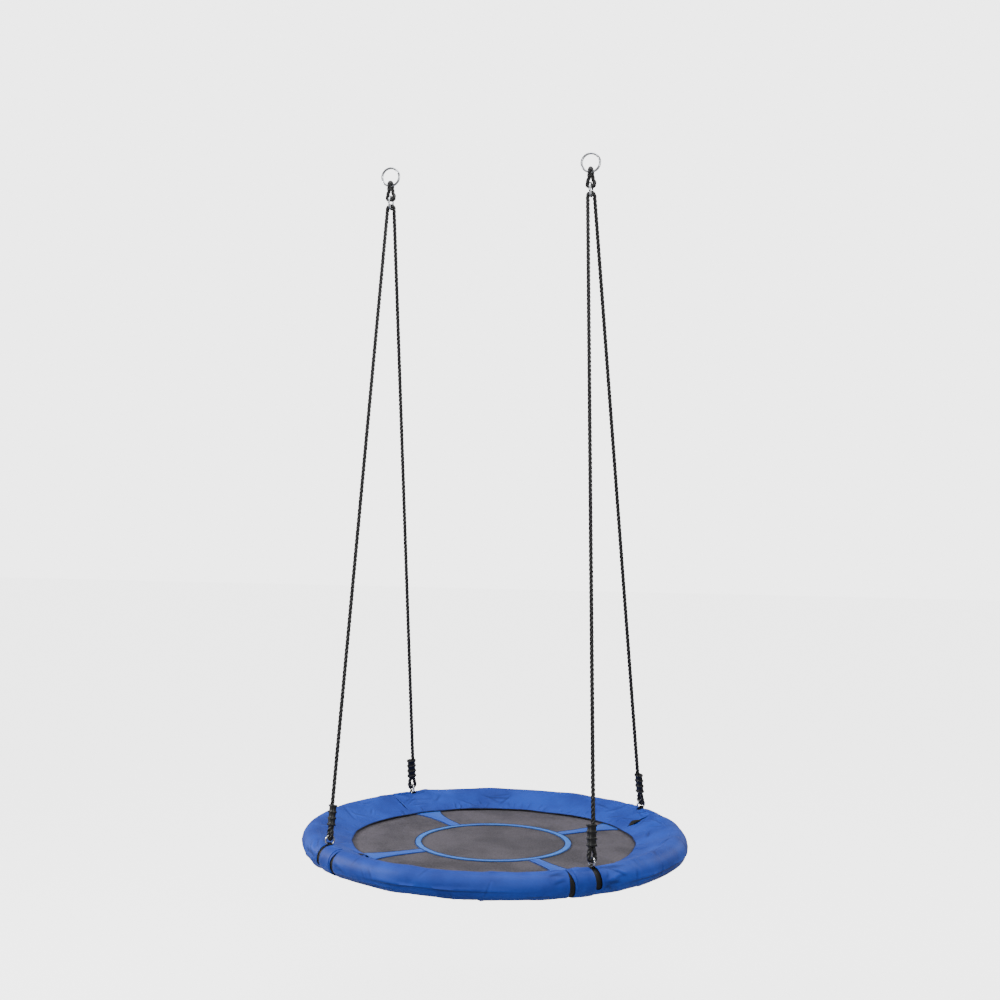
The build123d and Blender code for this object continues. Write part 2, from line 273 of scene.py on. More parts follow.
def woven(name, light, shade, warp, weft, relief, roughness, sheen, patch=60 * MM, contrast=0.2, fleck=0.0):
    """Woven cloth: threads that pass over and under, and a colour that drifts between two shades."""
    material, tree, shader = blank(name)
    cloth = add(tree, "ShaderNodeUVMap", uv_map="cloth").outputs[0]
    place = add(tree, "ShaderNodeTexCoord").outputs["Object"]
    threads = [
        add(
            tree,
            "ShaderNodeTexWave",
            {
                "Vector": cloth,
                "Scale": wave_scale(period),
                "Distortion": 0.6,
                "Detail": 1.0,
                "Detail Scale": 2.0,
            },
            bands_direction=direction,
        ).outputs[1]
        for direction, period in (("X", warp), ("Y", weft))
    ]
    weave = add(tree, "ShaderNodeMath", {0: threads[0], 1: threads[1]}, operation="MULTIPLY").outputs[0]
    colour = drift(tree, place, rgba(shade), rgba(light), patch, contrast)
    if fleck:
        flecks = drift(tree, place, rgba(shade, 0.6), rgba(light, 1.25), 3.5 * MM, 0.12, 2.0)
        colour = add(tree, "ShaderNodeMix", {0: fleck, 6: colour, 7: flecks}, data_type="RGBA").outputs[2]
    # Painted shade: the colour darkens in the hollows between threads and lightens a little on their tops.
    thread_hollow_shade = spread(tree, weave, 0.8, 1.04, 0.0, 0.5)
    # Painted light: the fold attribute paints highlights along the folds' crests and painted shade in their
    # valleys.
    fold = add(tree, "ShaderNodeAttribute", attribute_name="fold").outputs["Fac"]
    painted_fold_light = add(tree, "ShaderNodeMath", {0: fold, 1: 0.45, 2: 1.0}, operation="MULTIPLY_ADD").outputs[0]
    painted_shading = add(tree, "ShaderNodeMath", {0: thread_hollow_shade, 1: painted_fold_light}, operation="MULTIPLY").outputs[0]
    shaded = add(tree, "ShaderNodeVectorMath", {0: colour, 3: painted_shading}, operation="SCALE").outputs[0]
    slubs = add(tree, "ShaderNodeTexNoise", {"Vector": place, "Scale": 420.0, "Detail": 2.0}).outputs[0]
    rise = add(tree, "ShaderNodeMath", {0: slubs, 1: 0.5, 2: weave}, operation="MULTIPLY_ADD").outputs[0]
    bump = add(tree, "ShaderNodeBump", {"Height": rise, "Strength": 0.55, "Distance": relief})
    gloss = spread(tree, slubs, roughness - 0.06, roughness + 0.06)
    finish_with(tree, shader, shaded, gloss, bump)
    shader.inputs["IOR"].default_value = 1.5
    shader.inputs["Specular IOR Level"].default_value = 0.35
    shader.inputs["Sheen Weight"].default_value = sheen
    shader.inputs["Sheen Roughness"].default_value = 0.4
    return material


def metal(name, colour, roughness, grain, dent):
    """Plated or galvanised steel: a base colour and a polish that vary a little."""
    material, tree, shader = blank(name)
    place = add(tree, "ShaderNodeTexCoord").outputs["Object"]
    grains = add(tree, "ShaderNodeTexNoise", {"Vector": place, "Scale": 1 / grain, "Detail": 5.0}).outputs[0]
    polish = spread(tree, grains, roughness - 0.08, roughness + 0.1)
    bump = add(tree, "ShaderNodeBump", {"Height": grains, "Strength": 0.3, "Distance": dent})
    tint = drift(tree, place, rgba(colour, 0.82), rgba(colour, 1.05), 4 * grain)
    finish_with(tree, shader, tint, polish, bump)
    shader.inputs["Metallic"].default_value = 1.0
    return material


def laid_fibre(name, colour):
    """Rope strands: fine yarns along the rope, a little gloss where they bend."""
    material, tree, shader = blank(name)
    yarn = add(tree, "ShaderNodeUVMap", uv_map="cloth").outputs[0]
    place = add(tree, "ShaderNodeTexCoord").outputs["Object"]
    lines = add(
        tree,
        "ShaderNodeTexWave",
        {
            "Vector": yarn,
            "Scale": wave_scale(0.9 * MM),
            "Distortion": 1.5,
            "Detail": 2.0,
            "Detail Scale": 1.5,
        },
        bands_direction="Y",
    ).outputs[1]
    fuzz = add(tree, "ShaderNodeTexNoise", {"Vector": place, "Scale": 900.0, "Detail": 3.0}).outputs[0]
    rise = add(tree, "ShaderNodeMath", {0: fuzz, 1: 0.6, 2: lines}, operation="MULTIPLY_ADD").outputs[0]
    bump = add(tree, "ShaderNodeBump", {"Height": rise, "Strength": 0.6, "Distance": 0.25 * MM})
    tint = drift(tree, place, rgba(colour, 0.7), rgba(colour, 1.5), 9 * MM)
    gloss = spread(tree, lines, 0.62, 0.44, 0.0, 1.0)
    finish_with(tree, shader, tint, gloss, bump)
    shader.inputs["IOR"].default_value = 1.5
    return material


def moulded(name, colour, roughness, grit, depth, patch=30 * MM):
    """Moulded plastic or foam skin: a fine even grit under a slightly varied colour."""
    material, tree, shader = blank(name)
    place = add(tree, "ShaderNodeTexCoord").outputs["Object"]
    cells = add(tree, "ShaderNodeTexVoronoi", {"Vector": place, "Scale": 1 / grit}).outputs[0]
    smear = add(tree, "ShaderNodeTexNoise", {"Vector": place, "Scale": 1 / patch, "Detail": 4.0}).outputs[0]
    bump = add(tree, "ShaderNodeBump", {"Height": cells, "Strength": 0.4, "Distance": depth})
    tint = drift(tree, place, rgba(colour, 0.85), rgba(colour, 1.12), patch)
    polish = spread(tree, smear, roughness - 0.05, roughness + 0.07)
    finish_with(tree, shader, tint, polish, bump)
    shader.inputs["IOR"].default_value = 1.5
    return material


def finish_named(name):
    """The swing's finishes, each made once, when a piece first asks for it."""
    if name in bpy.data.materials:
        return bpy.data.materials[name]
    hues = bpy.context.scene.swing_colours
    if name == "oxford polyester woven":
        # Coated oxford: a matt, slightly silky blue. Its 0.8 mm basket cells are drawn at 1.6 mm to show.
        return woven(name, hues.cover, hues.cover_shade, 1.6 * MM, 1.6 * MM, 0.22 * MM, 0.6, 0.03, 90 * MM)
    if name == "oxford polyester doubled":
        # The same cloth folded double: a shade brighter, because it lies flatter to the light.
        return woven(name, hues.tab, hues.cover_shade, 1.6 * MM, 1.6 * MM, 0.22 * MM, 0.6, 0.03, 70 * MM)
    if name == "polypropylene mat cloth woven":
        # Slit-tape cloth: flat crossing tapes, which give a dry mottled grey. 1.5 mm tapes drawn at 3 mm.
        return woven(
            name, hues.mat, hues.mat_shade, 3 * MM, 3 * MM, 0.3 * MM, 0.7, 0.04, 110 * MM, 0.16, 0.35
        )
    if name == "polyester band woven":
        # Light blue binding cloth, ribbed across its width.
        return woven(name, hues.ring_band, hues.spoke, 1.4 * MM, 2 * MM, 0.25 * MM, 0.6, 0.05, 40 * MM, 0.35)
    if name == "oxford polyester spoke":
        # The spokes' cloth, between the band's blue and the cover's.
        return woven(name, hues.spoke, hues.cover, 1.6 * MM, 1.6 * MM, 0.22 * MM, 0.6, 0.05, 120 * MM, 0.3)
    if name == "polyester edge tape woven":
        # Narrow navy tape: dark, with a dull rib.
        return woven(name, hues.edge, hues.webbing, 1 * MM, 1 * MM, 0.15 * MM, 0.66, 0.03, 30 * MM)
    if name == "polypropylene webbing woven":
        # Heavy black webbing: ribs 1.2 mm apart across the strap catch thin lines of light.
        return woven(name, hues.webbing, hues.webbing, 1.2 * MM, 2.4 * MM, 0.4 * MM, 0.55, 0.02, 20 * MM)
    if name == "polyethylene rope laid":
        # Three laid strands of filament yarn: near black, a little shiny along the yarns.
        return laid_fibre(name, hues.rope)
    if name == "polyester thread spun":
        # Sewing thread: matt and a little lighter than the cloth that it holds.
        return laid_fibre(name, hues.spoke)
    if name == "polypropylene cuff moulded":
        # Injection moulded: dark grey, satin, with the mould's spark-eroded grit.
        return moulded(name, hues.cuff, 0.46, 0.9 * MM, 0.05 * MM)
    if name == "polyethylene foam extruded":
        # Closed cells about 1.5 mm wide under a dull skin.
        return moulded(name, hues.foam, 0.82, 1.5 * MM, 0.3 * MM)
    if name == "steel zinc plated":
        # Bright zinc over drawn wire: clear highlights, slightly cloudy between them.
        return metal(name, hues.zinc, 0.24, 6 * MM, 0.05 * MM)
    if name == "steel tube galvanised":
        # Hot-dip spangle: dull patches about 12 mm across.
        return metal(name, hues.steel, 0.42, 12 * MM, 0.04 * MM)
    if name == "studio floor painted":
        # Rolled matt paint, lit from beneath like a light table, so that it is as pale as the backdrop.
        material, tree, shader = blank(name)
        place = add(tree, "ShaderNodeTexCoord").outputs["Object"]
        stipple = add(tree, "ShaderNodeTexNoise", {"Vector": place, "Scale": 250.0}).outputs[0]
        bump = add(tree, "ShaderNodeBump", {"Height": stipple, "Strength": 0.2, "Distance": 0.1 * MM})
        seen = add(tree, "ShaderNodeLightPath").outputs["Is Camera Ray"]
        glow = spread(tree, seen, 0.0, 3.6, 0.0, 1.0)
        tree.links.new(bump.outputs[0], shader.inputs["Normal"])
        tree.links.new(glow, shader.inputs["Emission Strength"])
        shader.inputs["Emission Color"].default_value = (1, 1, 1, 1)
        shader.inputs["Base Color"].default_value = rgba(hues.floor, 0.4)  # little of its light goes back up
        shader.inputs["Roughness"].default_value = 0.9
        return material
    raise ValueError(f"no finish is named {name}")


# ---- mesh making ----
def new_piece(name, points, faces, corner_uv, finish, crease=50):
    mesh = bpy.data.meshes.new(name)
    mesh.from_pydata(points, [], faces)
    layer = mesh.uv_layers.new(name="cloth")
    layer.data.foreach_set("uv", np.asarray(corner_uv, dtype=float).ravel())
    mesh.materials.append(finish_named(finish))
    mesh.polygons.foreach_set("use_smooth", [True] * len(mesh.polygons))
    mesh.set_sharp_from_angle(angle=math.radians(crease))
    mesh.validate()
    piece = bpy.data.objects.new(name, mesh)
    bpy.context.scene.collection.objects.link(piece)
    return piece


def net(grid, uv, wrap_rows=False, wrap_columns=False, keep=None):
    """Points, faces and face-corner UVs of a grid. Where it wraps, uv has one row or column more."""
    rows, columns = grid.shape[:2]
    across = np.arange(rows if wrap_rows else rows - 1)
    down = np.arange(columns if wrap_columns else columns - 1)
    row, column = np.meshgrid(across, down, indexing="ij")
    if keep is not None:
        row, column = row[keep], column[keep]
    row, column = row.ravel(), column.ravel()
    corners = [(row, column), (row, column + 1), (row + 1, column + 1), (row + 1, column)]
    faces = np.stack([(r % rows) * columns + c % columns for r, c in corners], -1)
    corner_uv = np.stack([uv[r, c] for r, c in corners], 1)
    return grid.reshape(-1, 3), faces, corner_uv.reshape(-1, 2)


def drop_loose(points, faces):
    """Leaves out the points that no face uses, and says which are left."""
    used, places = np.unique(faces, return_inverse=True)
    return points[used], places.reshape(faces.shape), used


def sweep(line, across, up, outline, closed=False):
    """Carries an outline of (across, up) pairs along a line: points, faces with end caps, and corner UVs."""
    line, across, up = (np.asarray(a, dtype=float) for a in (line, across, up))
    outline = np.asarray(outline, dtype=float)
    if outline.ndim == 2:
        outline = np.broadcast_to(outline, (len(line), *outline.shape))
    grid = (
        line[:, None, :]
        + outline[:, :, 0, None] * across[:, None, :]
        + outline[:, :, 1, None] * up[:, None, :]
    )
    steps = np.linalg.norm(np.diff(np.vstack([line, line[:1]]), axis=0), axis=1)
    travel = np.concatenate([[0], np.cumsum(steps)])[: len(line) + (1 if closed else 0)]
    first = outline[0]
    sides = np.linalg.norm(np.diff(np.vstack([first, first[:1]]), axis=0), axis=1)
    round_it = np.concatenate([[0], np.cumsum(sides)])
    uv = np.stack(np.meshgrid(travel, round_it, indexing="ij"), -1)
    points, faces, corner_uv = net(grid, uv, wrap_rows=closed, wrap_columns=True)
    faces = [tuple(f) for f in faces.tolist()]
    if not closed:
        count = outline.shape[1]
        last = len(points) - count
        faces += [tuple(range(count)), tuple(range(last + count - 1, last - 1, -1))]
        corner_uv = np.vstack([corner_uv, first, first[::-1]])
    return points, faces, corner_uv


def travel_along(points):
    """How far along a line each of its points is."""
    return np.concatenate([[0], np.cumsum(np.linalg.norm(np.diff(points, axis=0), axis=1))])


def headings(line):
    """The direction in which a line runs at each of its points."""
    ahead = np.gradient(line, axis=0)
    return ahead / np.linalg.norm(ahead, axis=1)[:, None]


def flipped(faces, corner_uv):
    """The same quads with their other side outwards."""
    return faces[:, ::-1], corner_uv.reshape(-1, 4, 2)[:, ::-1].reshape(-1, 2)


def joined(parts):
    """Several point, face and UV sets as one."""
    points, faces, corner_uv, start = [], [], [], 0
    for p, f, uv in parts:
        points.append(p)
        faces += [tuple(i + start for i in face) for face in f]
        corner_uv.append(uv)
        start += len(p)
    return np.vstack(points), faces, np.vstack(corner_uv)


def carried_frames(line):
    """Two directions square to a line at each point, carried along it without twist."""
    line = np.asarray(line, dtype=float)
    ahead = headings(line)
    side = np.cross(ahead[0], (0.3, 0.5, 0.8))
    across = np.empty_like(line)
    for i, direction in enumerate(ahead):
        side = side - direction * (side @ direction)
        side = side / np.linalg.norm(side)
        across[i] = side
    return across, np.cross(ahead, across)


def ring_of(radius, count, centre, first, second):
    """A circle's points, with the directions out from its centre and along its axis."""
    turn = np.linspace(0, TURN, count, endpoint=False)[:, None]
    out = np.cos(turn) * np.array(first) + np.sin(turn) * np.array(second)
    axis = np.broadcast_to(np.cross(first, second), out.shape)
    return np.array(centre) + radius * out, out, axis


def oval(width, height, count=12):
    turn = np.linspace(0, TURN, count, endpoint=False)
    return np.stack([width / 2 * np.cos(turn), height / 2 * np.sin(turn)], -1)


def ribbon_outline(width, height, fold=3):
    """A flat strip's outline with round edges."""
    outline = []
    for sign in (1, -1):
        for k in range(fold + 1):
            turn = TURN / 4 - TURN / 2 * k / fold
            across = (width - height) / 2 + height / 2 * math.cos(turn)
            outline.append((sign * across, sign * height / 2 * math.sin(turn)))
    return outline


def route_line(points, step):
    """A smooth line through a route: read from its NURBS spline, at even steps."""
    curve = bpy.data.curves.new("route", "CURVE")
    curve.dimensions = "3D"
    curve.resolution_u = 48
    spline = curve.splines.new("NURBS")
    spline.points.add(len(points) - 1)
    for place, point in zip(spline.points, points):
        place.co = (*point, 1)
    spline.order_u = 3
    spline.use_endpoint_u = True
    holder = bpy.data.objects.new("route", curve)
    mesh = bpy.data.meshes.new_from_object(holder)
    read = np.array([vertex.co[:] for vertex in mesh.vertices])
    bpy.data.objects.remove(holder)
    bpy.data.curves.remove(curve)
    bpy.data.meshes.remove(mesh)
    travel = travel_along(read)
    even = np.linspace(0, travel[-1], round(travel[-1] / step) + 1)
    return np.stack([np.interp(even, travel, read[:, k]) for k in range(3)], -1), travel[-1]


def laid_rope(name, line, diameter, lay):
    """Three strands laid round each other, as one skin with a deep groove between strands."""
    sides = 24
    strand = 0.55 * diameter / 2
    offset = diameter / 2 - strand
    turn = np.linspace(0, TURN, sides, endpoint=False)
    from_strand = (turn + TURN / 6) % (TURN / 3) - TURN / 6
    reach = offset * np.cos(from_strand) + np.sqrt(strand**2 - (offset * np.sin(from_strand)) ** 2)
    travel = travel_along(line)
    angle = turn[None, :] + TURN * travel[:, None] / lay
    end_shrink = np.ones(len(line))
    end_shrink[[0, -1]] = 0.72  # the cut ends are melted round
    reach = reach[None, :] * end_shrink[:, None]
    outline = np.stack([reach * np.cos(angle), reach * np.sin(angle)], -1)
    across, up = carried_frames(line)
    points, faces, corner_uv = sweep(line, across, up, outline)
    body = len(corner_uv) - 2 * sides
    corner_uv[:body, 1] += corner_uv[:body, 0] * math.pi * diameter / lay
    return new_piece(name, points, faces, corner_uv, "polyethylene rope laid", crease=80)


def stitches(name, rows):
    """Rows of short raised stitches. A row is its points and the cloth's outward directions."""
    sizes = bpy.context.scene.swing_sizes
    parts = []
    for points, outward in rows:
        points, outward = np.asarray(points), np.asarray(outward)
        travel = travel_along(points)
        for start in np.arange(0, travel[-1] - sizes.stitch, sizes.stitch_pitch):
            along = start + sizes.stitch * np.array([0, 0.2, 0.5, 0.8, 1])
            line = np.stack([np.interp(along, travel, points[:, k]) for k in range(3)], -1)
            out = np.stack([np.interp(along, travel, outward[:, k]) for k in range(3)], -1)
            line = line + out * (THREAD * np.array([-0.2, 0.25, 0.4, 0.25, -0.2]))[:, None]
            ahead = line[-1] - line[0]
            side = np.cross(out, ahead / np.linalg.norm(ahead))
            outline = oval(THREAD, THREAD, 6)[None] * np.array([0.4, 0.9, 1, 0.9, 0.4])[:, None, None]
            parts.append(sweep(line, side, out, outline))
    return new_piece(name, *joined(parts), "polyester thread spun", crease=80)


def ride_saucer(piece, slot, *nodes):
    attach(piece, "saucer")
    if nodes:
        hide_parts(*nodes)


class SWING_OT_stage(bpy.types.Operator):
    """Adds the floor, the lights and the camera"""

    bl_idname = "swing.stage"
    bl_label = "Stage"
    bl_options = {"REGISTER", "UNDO"}

    def execute(self, context):
        scene = bpy.context.scene
        spots = np.linspace(-FLOOR_HALF, FLOOR_HALF, 9)
        ground = np.stack(np.meshgrid(spots, spots, indexing="ij"), -1)
        grid = np.concatenate([ground, np.full((*ground.shape[:2], 1), RIM_Z - FLOOR_DROP)], -1)
        floor = new_piece("floor", *net(grid[:, ::-1], ground), "studio floor painted")

        world = bpy.data.worlds.new("studio air")
        world.use_nodes = True
        world.node_tree.nodes.clear()
        # The backdrop itself is brighter than the light that it gives, as a lit paper sweep is.
        seen = add(world.node_tree, "ShaderNodeLightPath").outputs["Is Camera Ray"]
        strength = spread(world.node_tree, seen, 0.3, 4.0, 0.0, 1.0)
        air = add(world.node_tree, "ShaderNodeBackground", {0: (1, 1, 1, 1), 1: strength})
        add(world.node_tree, "ShaderNodeOutputWorld", {0: air.outputs[0]})
        scene.world = world

        lamps = [
            ("overhead soft box", (0.4, -0.2, 1.5), 2.0, 80, (0, 0, RIM_Z)),
            ("low side lamp", (-2.5, -0.6, -0.5), 0.6, 70, (0, 0, RIM_Z)),
            ("front soft box", (1.6, -3.9, 0.4), 1.4, 92, (0, 0, RIM_Z * 0.8)),
            ("rear soft box", (2.4, 2.6, 0.2), 1.2, 40, (0, 0, RIM_Z * 0.7)),
        ]
        for name, place, width, power, target in lamps:
            lamp = bpy.data.lights.new(name, "AREA")
            lamp.shape = "SQUARE"
            lamp.size = width
            lamp.energy = power
            holder = bpy.data.objects.new(name, lamp)
            holder.location = place
            aim = Vector(target) - Vector(place)
            holder.rotation_euler = aim.to_track_quat("-Z", "Y").to_euler()
            scene.collection.objects.link(holder)

        # A long lens a little to the right of the swing, shifted so that the swing stands in the middle.
        yaw, pitch, roll = -0.3525, -0.0114, -0.0056
        ahead = Vector((math.sin(yaw) * math.cos(pitch), math.cos(yaw) * math.cos(pitch), -math.sin(pitch)))
        right = Vector((math.cos(yaw), -math.sin(yaw), 0))
        up = right.cross(ahead)
        right, up = right * math.cos(roll) + up * math.sin(roll), up * math.cos(roll) - right * math.sin(roll)
        camera = bpy.data.cameras.new("front view")
        camera.sensor_width = 36
        camera.lens = 56.03
        camera.shift_x = 0.1417
        camera.shift_y = -0.0547
        camera.clip_end = 100
        viewer = bpy.data.objects.new("front view", camera)
        turned = Matrix((right, up, -ahead)).transposed().to_4x4()
        viewer.matrix_world = Matrix.Translation((1.0897, -3.9699, -0.7929)) @ turned
        scene.collection.objects.link(viewer)
        scene.camera = viewer
        return {"FINISHED"}


class SWING_OT_ropes(bpy.types.Operator):
    """Lays the two long ropes and the two slings between the hanging rings"""

    bl_idname = "swing.ropes"
    bl_label = "Ropes and slings"
    bl_options = {"REGISTER", "UNDO"}

    def execute(self, context):
        sizes = context.scene.swing_sizes
        for side, sign in SIDES.items():
            x = sign * HANG_HALF
            bight_z = LOWER_RING_Z - LOWER_RADIUS + ROPE_BEND
            over = [Vector((x - LEG_SPREAD, 0, bight_z)), Vector((x + LEG_SPREAD, 0, bight_z))]
            front = self.leg(side, "front", over[0])
            back = self.leg(side, "back", over[1])
            line, _ = route_line([*front, *over, *reversed(back)], ROUTE_STEP)
            rope = laid_rope(f"laid_rope_{side}", line, sizes.rope_diameter, sizes.rope_lay)
            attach(rope, f"{side}_ropes")
            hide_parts(f"rope_{side}")

            high = TOP_RING_Z - RING_RADIUS + SLING_REACH
            low = LOWER_RING_Z + LOWER_RADIUS - SLING_REACH
            corners = [
                Vector((x, SLING_HALF, high)),
                Vector((x, -SLING_HALF, high)),
                Vector((x - SLING_HALF, 0, low)),
                Vector((x + SLING_HALF, 0, low)),
            ]
            # The two runs lie close beside each other between the rings, as a tight loop does.
            beside = Vector((SLING_PINCH, SLING_PINCH, 0))
            middle = Vector((x, 0, (high + low) / 2))
            waist = Vector((0, 0, SLING_PINCH_HEIGHT))
            down = [middle - beside + waist, middle - beside - waist]
            splice = waist * 0.1
            route = [middle + beside + splice, middle + beside + waist, *corners[:2], *down, *corners[2:]]
            route += [middle + beside - waist, middle + beside - splice]
            line, length = route_line(route, SLING_STEP)
            sling = laid_rope(f"sling_loop_{side}", line, sizes.rope_diameter, length / SLING_LAYS)
            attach(sling, "slings")
            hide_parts(f"sling_{side}")
        return {"FINISHED"}

    def leg(self, side, end, top):
        """Route from the tail's end, round the rim ring and up the leg to the lower ring."""
        bottom, across, _, up = leg_frame(side, end)
        s = -SIDES[side]
        standing = bottom - across * (s * PAIR_HALF) + up * EYE_TOP
        climb = (top - standing).normalized()
        beside_eye = 13 * MM
        beside_ring = 17 * MM
        straight = 54 * MM
        return [
            bottom + across * (s * PAIR_HALF) + up * (CUFF_START + CUFF_HEIGHT - TAIL_SHORT),
            bottom + across * (s * PAIR_HALF) + up * (EYE_TOP + beside_eye),
            bottom + across * (s * PAIR_HALF) + up * EYE_TOP,
            bottom + across * (s * EYE_HALF) + up * EYE_SIDE,
            bottom + across * (s * EYE_HALF),
            bottom - across * (s * EYE_HALF),
            bottom - across * (s * EYE_HALF) + up * EYE_SIDE,
            standing,
            standing + climb * beside_eye,
            standing + climb * straight,
            top - climb * straight,
            top - climb * beside_ring,
        ]


class SWING_OT_rings(bpy.types.Operator):
    """Bends the hanging rings and the four rim rings, each with its butt weld"""

    bl_idname = "swing.rings"
    bl_label = "Rings"
    bl_options = {"REGISTER", "UNDO"}

    def execute(self, context):
        for side, sign in SIDES.items():
            x = sign * HANG_HALF
            high, lower = (x, 0, TOP_RING_Z), (x, 0, LOWER_RING_Z)
            upright = (0, 0, 1)
            top = self.ring(f"hanging_ring_{side}", high, (1, 0, 0), upright, RING_RADIUS, RING_WIRE)
            low = self.ring(f"bight_ring_{side}", lower, (0, 1, 0), upright, LOWER_RADIUS, RING_WIRE)
            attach(top, "top_rings")
            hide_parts(f"top_ring_{side}")
            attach(low, f"{side}_ropes")
            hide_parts(f"lower_ring_{side}")
            for end in ENDS:
                bottom, _, through, up = leg_frame(side, end)
                centre = bottom + up * (ROPE_BEND - SMALL_RADIUS)
                small = self.ring(f"eye_ring_{side}_{end}", centre, through, up, SMALL_RADIUS, SMALL_WIRE)
                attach(small, f"{side}_ropes")
                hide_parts(f"rim_ring_{side}_{end}")
        return {"FINISHED"}

    def ring(self, name, centre, first, second, radius, wire):
        count, sides = 128, 20
        line, out, axis = ring_of(radius, count, centre, first, second)
        turn = np.linspace(0, TURN, count, endpoint=False)
        weld_at = 0.12 * TURN
        bead = 1 + 0.1 * np.exp(-(((turn - weld_at) * radius / (0.45 * wire)) ** 2))
        outline = oval(2 * wire, 2 * wire, sides)[None] * bead[:, None, None]
        return new_piece(name, *sweep(line, out, axis, outline, closed=True), "steel zinc plated", crease=80)


class SWING_OT_cuffs(bpy.types.Operator):
    """Moulds the ribbed cuffs that clamp each rope's tail to its standing part"""

    bl_idname = "swing.cuffs"
    bl_label = "Cuffs"
    bl_options = {"REGISTER", "UNDO"}

    def execute(self, context):
        # Half the flat's length, and the radius of the round, between the ribs and on them.
        body, rib = (4.0 * MM, 7.3 * MM), (4.4 * MM, 9.3 * MM)
        rib_height, rib_count = 5 * MM, 4
        step = (CUFF_HEIGHT - rib_height) / (rib_count - 1)
        corner = 1.2 * MM
        bore = 4.8 * MM
        profile = []
        for i in range(rib_count):
            low = i * step
            high = low + rib_height
            if i:
                profile += [(low - 1.2 * MM, *body), (low - 0.3 * MM, body[0], body[1] + 0.3 * MM)]
            for turn in np.linspace(0, TURN / 4, 4):
                edge = low + corner * (1 - math.sin(turn))
                profile.append((edge, rib[0], rib[1] - corner * (1 - math.cos(turn))))
            profile[-4:] = profile[-4:][::-1]
            for turn in np.linspace(0, TURN / 4, 4):
                edge = high - corner * (1 - math.sin(turn))
                profile.append((edge, rib[0], rib[1] - corner * (1 - math.cos(turn))))
            if i < rib_count - 1:
                profile += [(high + 0.3 * MM, body[0], body[1] + 0.3 * MM), (high + 1.2 * MM, *body)]
        for side, end in FEET:
            sign = SIDES[side]
            bottom, across, through, up = leg_frame(side, end)
            tail_bore = CUFF_HEIGHT - TAIL_SHORT
            inside = [
                (CUFF_HEIGHT - 0.4 * MM, 0, bore, sign * PAIR_HALF),
                (tail_bore, 0, bore, sign * PAIR_HALF),
                (tail_bore, PAIR_HALF, bore, 0),
                (0.4 * MM, PAIR_HALF, bore, 0),
            ]
            mouth = 0.4 * MM  # the bores' edges are eased
            levels = [(0, PAIR_HALF, bore + mouth, 0)]
            levels += [(*level, 0) for level in profile]
            levels += [(CUFF_HEIGHT, 0, bore + mouth, sign * PAIR_HALF), *inside]
            count = 56
            turn = (np.arange(count) + 0.5) / count * TURN
            flat_side = np.sign(np.cos(turn))
            outline = [
                np.stack([shift + flat * flat_side + radius * np.cos(turn), radius * np.sin(turn)], -1)
                for _, flat, radius, shift in levels
            ]
            line = [np.array(bottom + up * (CUFF_START + height)) for height, *_ in levels]
            same = np.ones((len(line), 1))
            cuff = new_piece(
                f"ribbed_cuff_{side}_{end}",
                *sweep(line, same * np.array(across), -same * np.array(through), outline, closed=True),
                "polypropylene cuff moulded",
                crease=48,
            )
            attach(cuff, f"{side}_ropes")
            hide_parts(f"rope_cuff_{side}_{end}")
        return {"FINISHED"}


class SWING_OT_straps(bpy.types.Operator):
    """Wraps the webbing straps round the rim, each with the loop that holds its ring"""

    bl_idname = "swing.straps"
    bl_label = "Hanging straps"
    bl_options = {"REGISTER", "UNDO"}

    def execute(self, context):
        sizes = context.scene.swing_sizes
        for side, end in FEET:
            angle = foot_direction(side, end)
            out, round_rim = polar(1, angle, 0), polar(1, angle + TURN / 4, 0)
            centre = polar(RIM_RADIUS, angle, RIM_Z)
            line, away, _ = ring_of(STRAP_CLEAR, 96, centre, out, (0, 0, 1))
            sideways = np.broadcast_to(np.array(round_rim), line.shape)
            band = sweep(
                line, sideways, away, ribbon_outline(sizes.strap_width, sizes.strap_thickness), closed=True
            )
            loop_radius = 6.1 * MM
            foot_z = STRAP_CLEAR + sizes.strap_thickness
            path = [(-11 * MM, foot_z - 0.5 * MM), (-9 * MM, foot_z - 0.1 * MM)]
            path.append((-7.2 * MM, foot_z + 0.3 * MM))
            for turn in np.linspace(math.radians(198), math.radians(-18), 25):
                path.append((loop_radius * math.cos(turn), LOOP_RISE + loop_radius * math.sin(turn)))
            path += [(-a, h) for a, h in path[2::-1]]
            line = np.array([centre + round_rim * a + Vector((0, 0, h)) for a, h in path])
            wide = np.broadcast_to(np.array(out), line.shape)
            outline = ribbon_outline(LOOP_WIDTH, sizes.strap_thickness)
            loop = sweep(line, wide, np.cross(headings(line), wide), outline)
            strap = new_piece(
                f"webbing_strap_{side}_{end}", *joined([band, loop]), "polypropylene webbing woven", crease=60
            )
            ride_saucer(strap, "webbing", f"hang_strap_{side}_{end}")
        return {"FINISHED"}


